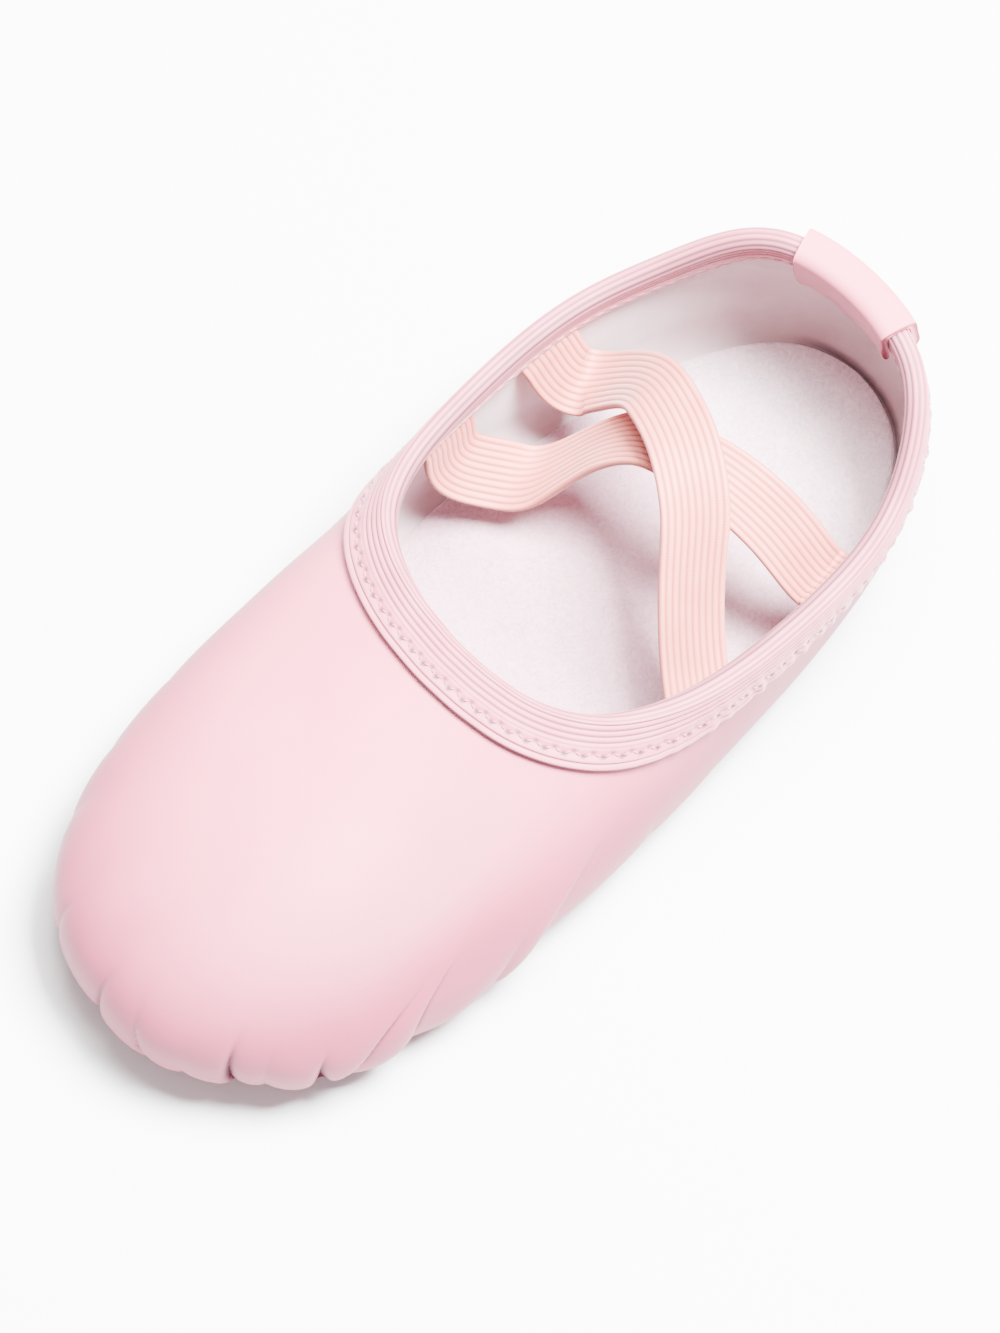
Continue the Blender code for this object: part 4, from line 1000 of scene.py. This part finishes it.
# %% Heel loop
TAB_HALF_WIDTH, TAB_OUTSIDE, TAB_INSIDE = 11 * MM, 15 * MM, 9 * MM
TAB_COLUMNS, TAB_RING = 90, 150


def rounded(path, count):
    """A closed path of (distance, depth) corners, each corner cut off three times, at even lengths."""
    path = np.array(path, dtype=float)
    for _ in range(3):
        ahead = np.roll(path, -1, axis=0)
        path = np.stack((0.75 * path + 0.25 * ahead, 0.25 * path + 0.75 * ahead), axis=1).reshape(-1, 2)
    ring = np.vstack((path, path[:1]))
    length = lengths_along(ring)
    even = np.linspace(0, length[-1], count, endpoint=False)
    return np.stack([np.interp(even, length, ring[:, k]) for k in (0, 1)], axis=1)


def build_tab():
    """The loop: up the outer face, over the tape, down the inner face and back, with a thin wall."""
    fine = np.linspace(0, 2, 401)
    half = np.interp(TAB_HALF_WIDTH, collar(fine)[:, 1], fine)
    places = np.linspace(-half, half, TAB_COLUMNS)
    near = GAP + TAPE_THICKNESS + GAP
    over = near + TAB_THICKNESS
    step = BINDING_OUTSIDE + GAP
    path = rounded((
        (TAB_OUTSIDE, -GAP - TAB_THICKNESS), (step + over, -GAP - TAB_THICKNESS), (step, -over),
        (0.4 * BINDING_OUTSIDE, -over), (0.0, -over), (-0.9 * over, -0.9 * over), (-over, 0.5 * UPPER_WALL),
        (-0.9 * over, UPPER_WALL + 0.9 * over), (0.0, UPPER_WALL + over), (TAB_INSIDE, UPPER_WALL + over),
        (TAB_INSIDE, UPPER_WALL + near), (0.0, UPPER_WALL + near), (-near, UPPER_WALL + 0.5 * near),
        (-near, -0.5 * near), (0.0, -near), (0.4 * BINDING_OUTSIDE, -near), (step + GAP, -near),
        (step + over, -GAP), (TAB_OUTSIDE, -GAP)), TAB_RING)
    share = np.linspace(-1, 1, TAB_COLUMNS)[:, None]
    ragged = (0.6 * np.sin(5.0 * share + 0.6) + 0.45 * np.sin(13 * share + 2.0)) * MM
    inner = smooth_step((path[:, 0] - 3 * MM) / (5 * MM)) * (path[:, 1] > UPPER_WALL)
    distance = path[:, 0] + ragged * inner
    inner_leg_shade = smooth_step((path[:, 1] - UPPER_WALL) / over)
    points = near_collar(places, distance, path[:, 1])
    columns, ring = points.shape[:2]
    quads, _ = grid_faces(columns, ring, tube=True)
    # Painted shade: the inner leg, which stands inside the shoe, gets a little of the leather's fold shade.
    fields = {"fold": np.tile(0.30 * inner_leg_shade, columns), "climb": np.ones(columns * ring)}
    return new_piece("heel_loop", points.reshape(-1, 3), quads, [LEATHER], ("heel_tab",),
                     caps=end_caps(columns, ring), fields=fields)


build_tab()

# %% [markdown]
# The sock inside is brushed cotton over a thin board: a flat plate that follows the underside, with its
# edge rounded over. A plate is a grid between its left and right edge. Its columns stand close together at
# the edges, where the thickness falls off as a quarter circle.

# %% Plates
PLATE_ACROSS, SAME_POINT, NO_AREA = 48, 0.02 * MM, 0.01 * MM


def plate_points(left, right, radius):
    """Points between two edge lines, how far a rounded edge drops there, and the distance from the edge."""
    share = 0.5 - 0.5 * np.cos(np.linspace(0, math.pi, PLATE_ACROSS + 1))
    share = 0.5 - 0.5 * np.cos(math.pi * share)
    plan = left[:, None] * (1 - share)[:, None] + right[:, None] * share[:, None]
    edge = np.linalg.norm(right - left, axis=-1)[:, None] * np.minimum(share, 1 - share)
    return plan, radius * (1 - np.sqrt(1 - (1 - np.clip(edge / radius, 0, 1)) ** 2)), edge


def build_plate(name, foot, top, bottom, thickness, radius, relief, material, node):
    """A closed plate between a foot and a top outline, each given as its left and its right edge line."""
    low_plan, _, _ = plate_points(*foot, radius)
    high_plan, drop, edge = plate_points(*top, radius)
    low = np.concatenate((low_plan, (ground(low_plan[..., 0]) + bottom)[..., None]), axis=-1)
    height = ground(high_plan[..., 0]) + bottom + thickness - drop + relief(high_plan, edge)
    high = np.concatenate((high_plan, height[..., None]), axis=-1)
    rows, columns = low.shape[:2]
    quads, _ = grid_faces(rows, columns)
    shift = rows * columns
    first, start = np.arange(rows) * columns, np.arange(columns)
    last, end = first + columns - 1, start + (rows - 1) * columns
    faces = np.concatenate((quads[:, ::-1], quads + shift, side_quads(first, shift),
                            side_quads(last, shift, flip=True), side_quads(start, shift, flip=True),
                            side_quads(end, shift)))
    points = np.concatenate((low.reshape(-1, 3), high.reshape(-1, 3)))
    piece = new_piece(name, points, faces, [material], (node,))
    work = bmesh.new()
    work.from_mesh(piece.data)
    bmesh.ops.remove_doubles(work, verts=work.verts, dist=SAME_POINT)
    bmesh.ops.dissolve_degenerate(work, edges=work.edges, dist=NO_AREA)
    bmesh.ops.recalc_face_normals(work, faces=work.faces)
    work.to_mesh(piece.data)
    work.free()
    piece.data.shade_smooth()
    return piece


print("columns across a plate:", PLATE_ACROSS + 1)

# %% [markdown]
# The sock's cotton is brushed until its fibres stand up. They catch light at a low angle and lie in all
# directions, so the nap looks flecked. The flecks are drawn 1.7 mm across, coarser than fibres are, so that
# they show. Towards the heel the cotton is painted paler, as painted light that lifts the shade of the
# heel's walls.

# %% Brushed cotton
def brushed_cotton():
    """Raised cotton nap: matt with a soft sheen, mottled where the fibres lie in different directions."""
    made, tree, shader = new_material("brushed_cotton_lilac", 0.95, Sheen_Weight=0.45, Sheen_Roughness=0.6)
    place = add(tree, "ShaderNodeTexCoord").outputs["Object"]
    tones = ((0.28, "#B48E9A"), (0.55, "#BE9AA5"), (0.75, "#CEAEB6"))
    tone, _ = clouded(tree, place, 26 * MM, tones, Detail=5.0, Roughness=0.55)
    along = add(tree, "ShaderNodeSeparateXYZ", {"Vector": place}).outputs["X"]
    # Painted light: towards the heel the colour is mixed towards a pale pink, to lift the shade of the heel's
    # walls.
    heel = add(tree, "ShaderNodeMapRange", {"Value": along, "From Min": -44 * MM, "From Max": -72 * MM,
                                            "To Max": 0.75}).outputs["Result"]
    heel_lightened = add(tree, "ShaderNodeMix", {"Factor": heel, "A": tone, "B": linear("#E8D6DC")}, data_type="RGBA")
    fleck, fibre = clouded(tree, place, 1.7 * MM, ((0.36, "#B5A0AF"), (0.64, "#FFFFFF")), Detail=6.0,
                           Roughness=0.7, Distortion=2.6)
    mixed = add(tree, "ShaderNodeMix", {"Factor": 0.50, "A": heel_lightened.outputs[MIX_COLOUR], "B": fleck},
                data_type="RGBA", blend_type="MULTIPLY")
    coat(tree, shader, mixed.outputs[MIX_COLOUR], fibre, 0.6, 0.28 * MM)
    return made


COTTON = brushed_cotton()
print("material:", COTTON.name)

# %% Insole
INSOLE_TOP_INSET, INSOLE_FOOT_INSET, INSOLE_ROUND = 4.8 * MM, 10.2 * MM, 1.2 * MM
insole_at = TOE_ROW * (0.5 - 0.5 * np.cos(np.linspace(0, math.pi, 180)))
insole_foot = [inset_line(at, INSOLE_FOOT_INSET) for at in (insole_at, RING_ROWS - insole_at)]
insole_top = [inset_line(at, INSOLE_TOP_INSET) for at in (insole_at, RING_ROWS - insole_at)]
# Dents from wear: along and across in mm, half lengths in mm, depth in mm.
INSOLE_DENTS = ((104, -14, 9, 4, 0.5), (112, 2, 5, 12, 0.35), (28, 0, 14, 12, 0.45), (92, 14, 12, 5, 0.3),
                (60, -8, 14, 3, 0.25), (46, 10, 3, 9, 0.25))


def insole_relief(plan, edge):
    """Soft lie of the nap: slow waves of 0.12 mm less the dents exp(-r^2), fading out at the edge."""
    x, y = plan[..., 0] / MM, plan[..., 1] / MM
    dent = sum(depth * MM * np.exp(-((x - a) / long) ** 2 - ((y - b) / wide) ** 2)
               for a, b, long, wide, depth in INSOLE_DENTS)
    wave = np.sin(x / 7.5 + 0.6 * np.sin(y / 9)) * np.sin(y / 8.0 + 0.8) + 0.6 * np.sin(x / 4.1 + y / 5.3)
    return (0.12 * MM * wave - dent) * smooth_step(edge / (4 * MM))


build_plate("brushed_sock", insole_foot, insole_top, PAD_THICKNESS + GAP + UPPER_WALL + GAP, INSOLE_THICKNESS,
            INSOLE_ROUND, insole_relief, COTTON, "insole")

# %% [markdown]
# The sole is split in two so that the foot can point: one suede pad under the ball and toes and one under
# the heel, cut with the nap outwards for grip and stitched round near the edge.

# %% Suede pads
def suede():
    """Split hide with its fibres raised: matt, darker where the nap is pressed, paler where it stands."""
    made, tree, shader = new_material("suede_pink", 0.95, Sheen_Weight=0.35, Sheen_Roughness=0.6)
    place = add(tree, "ShaderNodeTexCoord").outputs["Object"]
    tone, _ = clouded(tree, place, 14 * MM, ((0.30, "#A9646F"), (0.70, "#BE7C86")), Detail=5.0)
    nap = add(tree, "ShaderNodeTexNoise", {"Vector": place, "Scale": 1 / (0.7 * MM), "Detail": 5.0,
                                           "Roughness": 0.7}).outputs["Fac"]
    coat(tree, shader, tone, nap, 0.6, 0.2 * MM)
    return made


SUEDE = suede()
SEAM_INSET, PAD_STITCH, PAD_DASH, PAD_ROUND = 2.2 * MM, 3.2 * MM, 0.72, 0.25 * MM


def pad_edges(start, end, round_at, front, inset=PAD_INSET):
    """Both edges of a pad from its tip under the arch: a quarter of an ellipse, then the inset outline."""
    start = start + (inset - PAD_INSET) * (1 if front else -1)
    turn = np.linspace(0, math.pi / 2, 40)[:, None]
    fine = np.linspace(0, TOE_ROW, 1301)
    join = np.interp(start + (round_at if front else -round_at), inset_line(fine, inset)[:, 0], fine)
    rest = join + (end - join) * np.sin(np.linspace(0, math.pi / 2, 120))[1:]
    edges = []
    for mirror in (False, True):
        at_join, at_rest = (RING_ROWS - join, RING_ROWS - rest) if mirror else (join, rest)
        wide = inset_line(np.array([at_join]), inset)[0]
        tip = np.concatenate((start + (wide[0] - start) * (1 - np.cos(turn)), wide[1] * np.sin(turn)), axis=1)
        edges.append(np.concatenate((tip, inset_line(at_rest, inset))))
    return edges


def build_pad(name, start, end, round_at, front, node):
    """A suede pad, and under it the thread of its seam: stitches at even lengths along an inset line."""
    edges = pad_edges(start, end, round_at, front)
    build_plate(name, edges, edges, 0.0, PAD_THICKNESS, PAD_ROUND, lambda plan, edge: 0, SUEDE, node)
    seam = pad_edges(start, end, round_at, front, PAD_INSET + SEAM_INSET)
    ring = np.concatenate((seam[0], seam[1][::-1]))
    length = lengths_along(ring)
    at = np.linspace(0, length[-1], int(length[-1] / PAD_STITCH), endpoint=False)
    plan = [np.stack([np.interp(at + dash * PAD_STITCH, length, ring[:, k]) for k in (0, 1)], axis=-1)
            for dash in (0, PAD_DASH)]
    starts, ends = (np.column_stack((place, ground(place[:, 0]))) for place in plan)
    stitches(name + "_stitches", starts, ends, np.tile((0.0, 0.0, -1.0), (len(at), 1)), 0.02 * MM, 0.2 * MM,
             "suede", radius=0.2 * MM)


build_pad("suede_forefoot_pad", FRONT_PAD_START, TOE_ROW, FRONT_PAD_ROUND, True, "sole_front")
build_pad("suede_heel_pad", HEEL_PAD_END, 0, HEEL_PAD_ROUND, False, "sole_heel")

# %% [markdown]
# A pale floor, a bright white surround and two soft lamps high above give the even studio light. The camera
# looks down from between the toe and the outer side, 68 degrees above the floor, through a long lens.

# %% Floor, light and camera
FLOOR_HALF, FLOOR_LEVEL = 1.5, -0.2 * MM
floor_mesh = bpy.data.meshes.new("studio_floor")
floor_mesh.from_pydata([(x * FLOOR_HALF, y * FLOOR_HALF, FLOOR_LEVEL) for x, y in
                        ((-1, -1), (1, -1), (1, 1), (-1, 1))], [], [(0, 1, 2, 3)])
floor = bpy.data.objects.new("studio_floor", floor_mesh)
bpy.context.scene.collection.objects.link(floor)
paper, _, paper_shader = new_material("seamless_paper", 0.9)
paper_shader.inputs["Base Color"].default_value = linear("#D0D0D0")
floor_mesh.materials.append(paper)

world = bpy.data.worlds.new("studio")
world.use_nodes = True
world.node_tree.nodes["Background"].inputs["Color"].default_value = linear("#FFFFFF")
world.node_tree.nodes["Background"].inputs["Strength"].default_value = 1.3
bpy.context.scene.world = world


def placed(name, data, place, target):
    """A lamp or a camera at a place, turned to look at a target."""
    made = bpy.data.objects.new(name, data)
    bpy.context.scene.collection.objects.link(made)
    made.location = place
    made.rotation_mode = "QUATERNION"
    made.rotation_quaternion = mathutils.Vector(np.subtract(target, place)).to_track_quat("-Z", "Y")
    return made


for name, place, size, watts in (("key_lamp", (-0.36, 0.22, 1.04), 0.42, 205),
                                 ("top_lamp", (-0.20, -0.10, 1.1), 0.5, 50)):
    lamp = bpy.data.lights.new(name, "AREA")
    lamp.size, lamp.energy = size, watts
    placed(name, lamp, place, (0, 0, 0))

AZIMUTH, ELEVATION, DISTANCE, LENS = math.radians(135), math.radians(68), 1.5, 255
AIM = np.array((0.0, 0.0, 0.016))
back = np.array((math.sin(AZIMUTH) * math.cos(ELEVATION), -math.cos(AZIMUTH) * math.cos(ELEVATION),
                 math.sin(ELEVATION)))
camera = placed("camera", bpy.data.cameras.new("camera"), AIM + back * DISTANCE, AIM)
camera.data.lens = LENS
bpy.context.scene.camera = camera
print("camera at:", np.round(camera.location, 3))
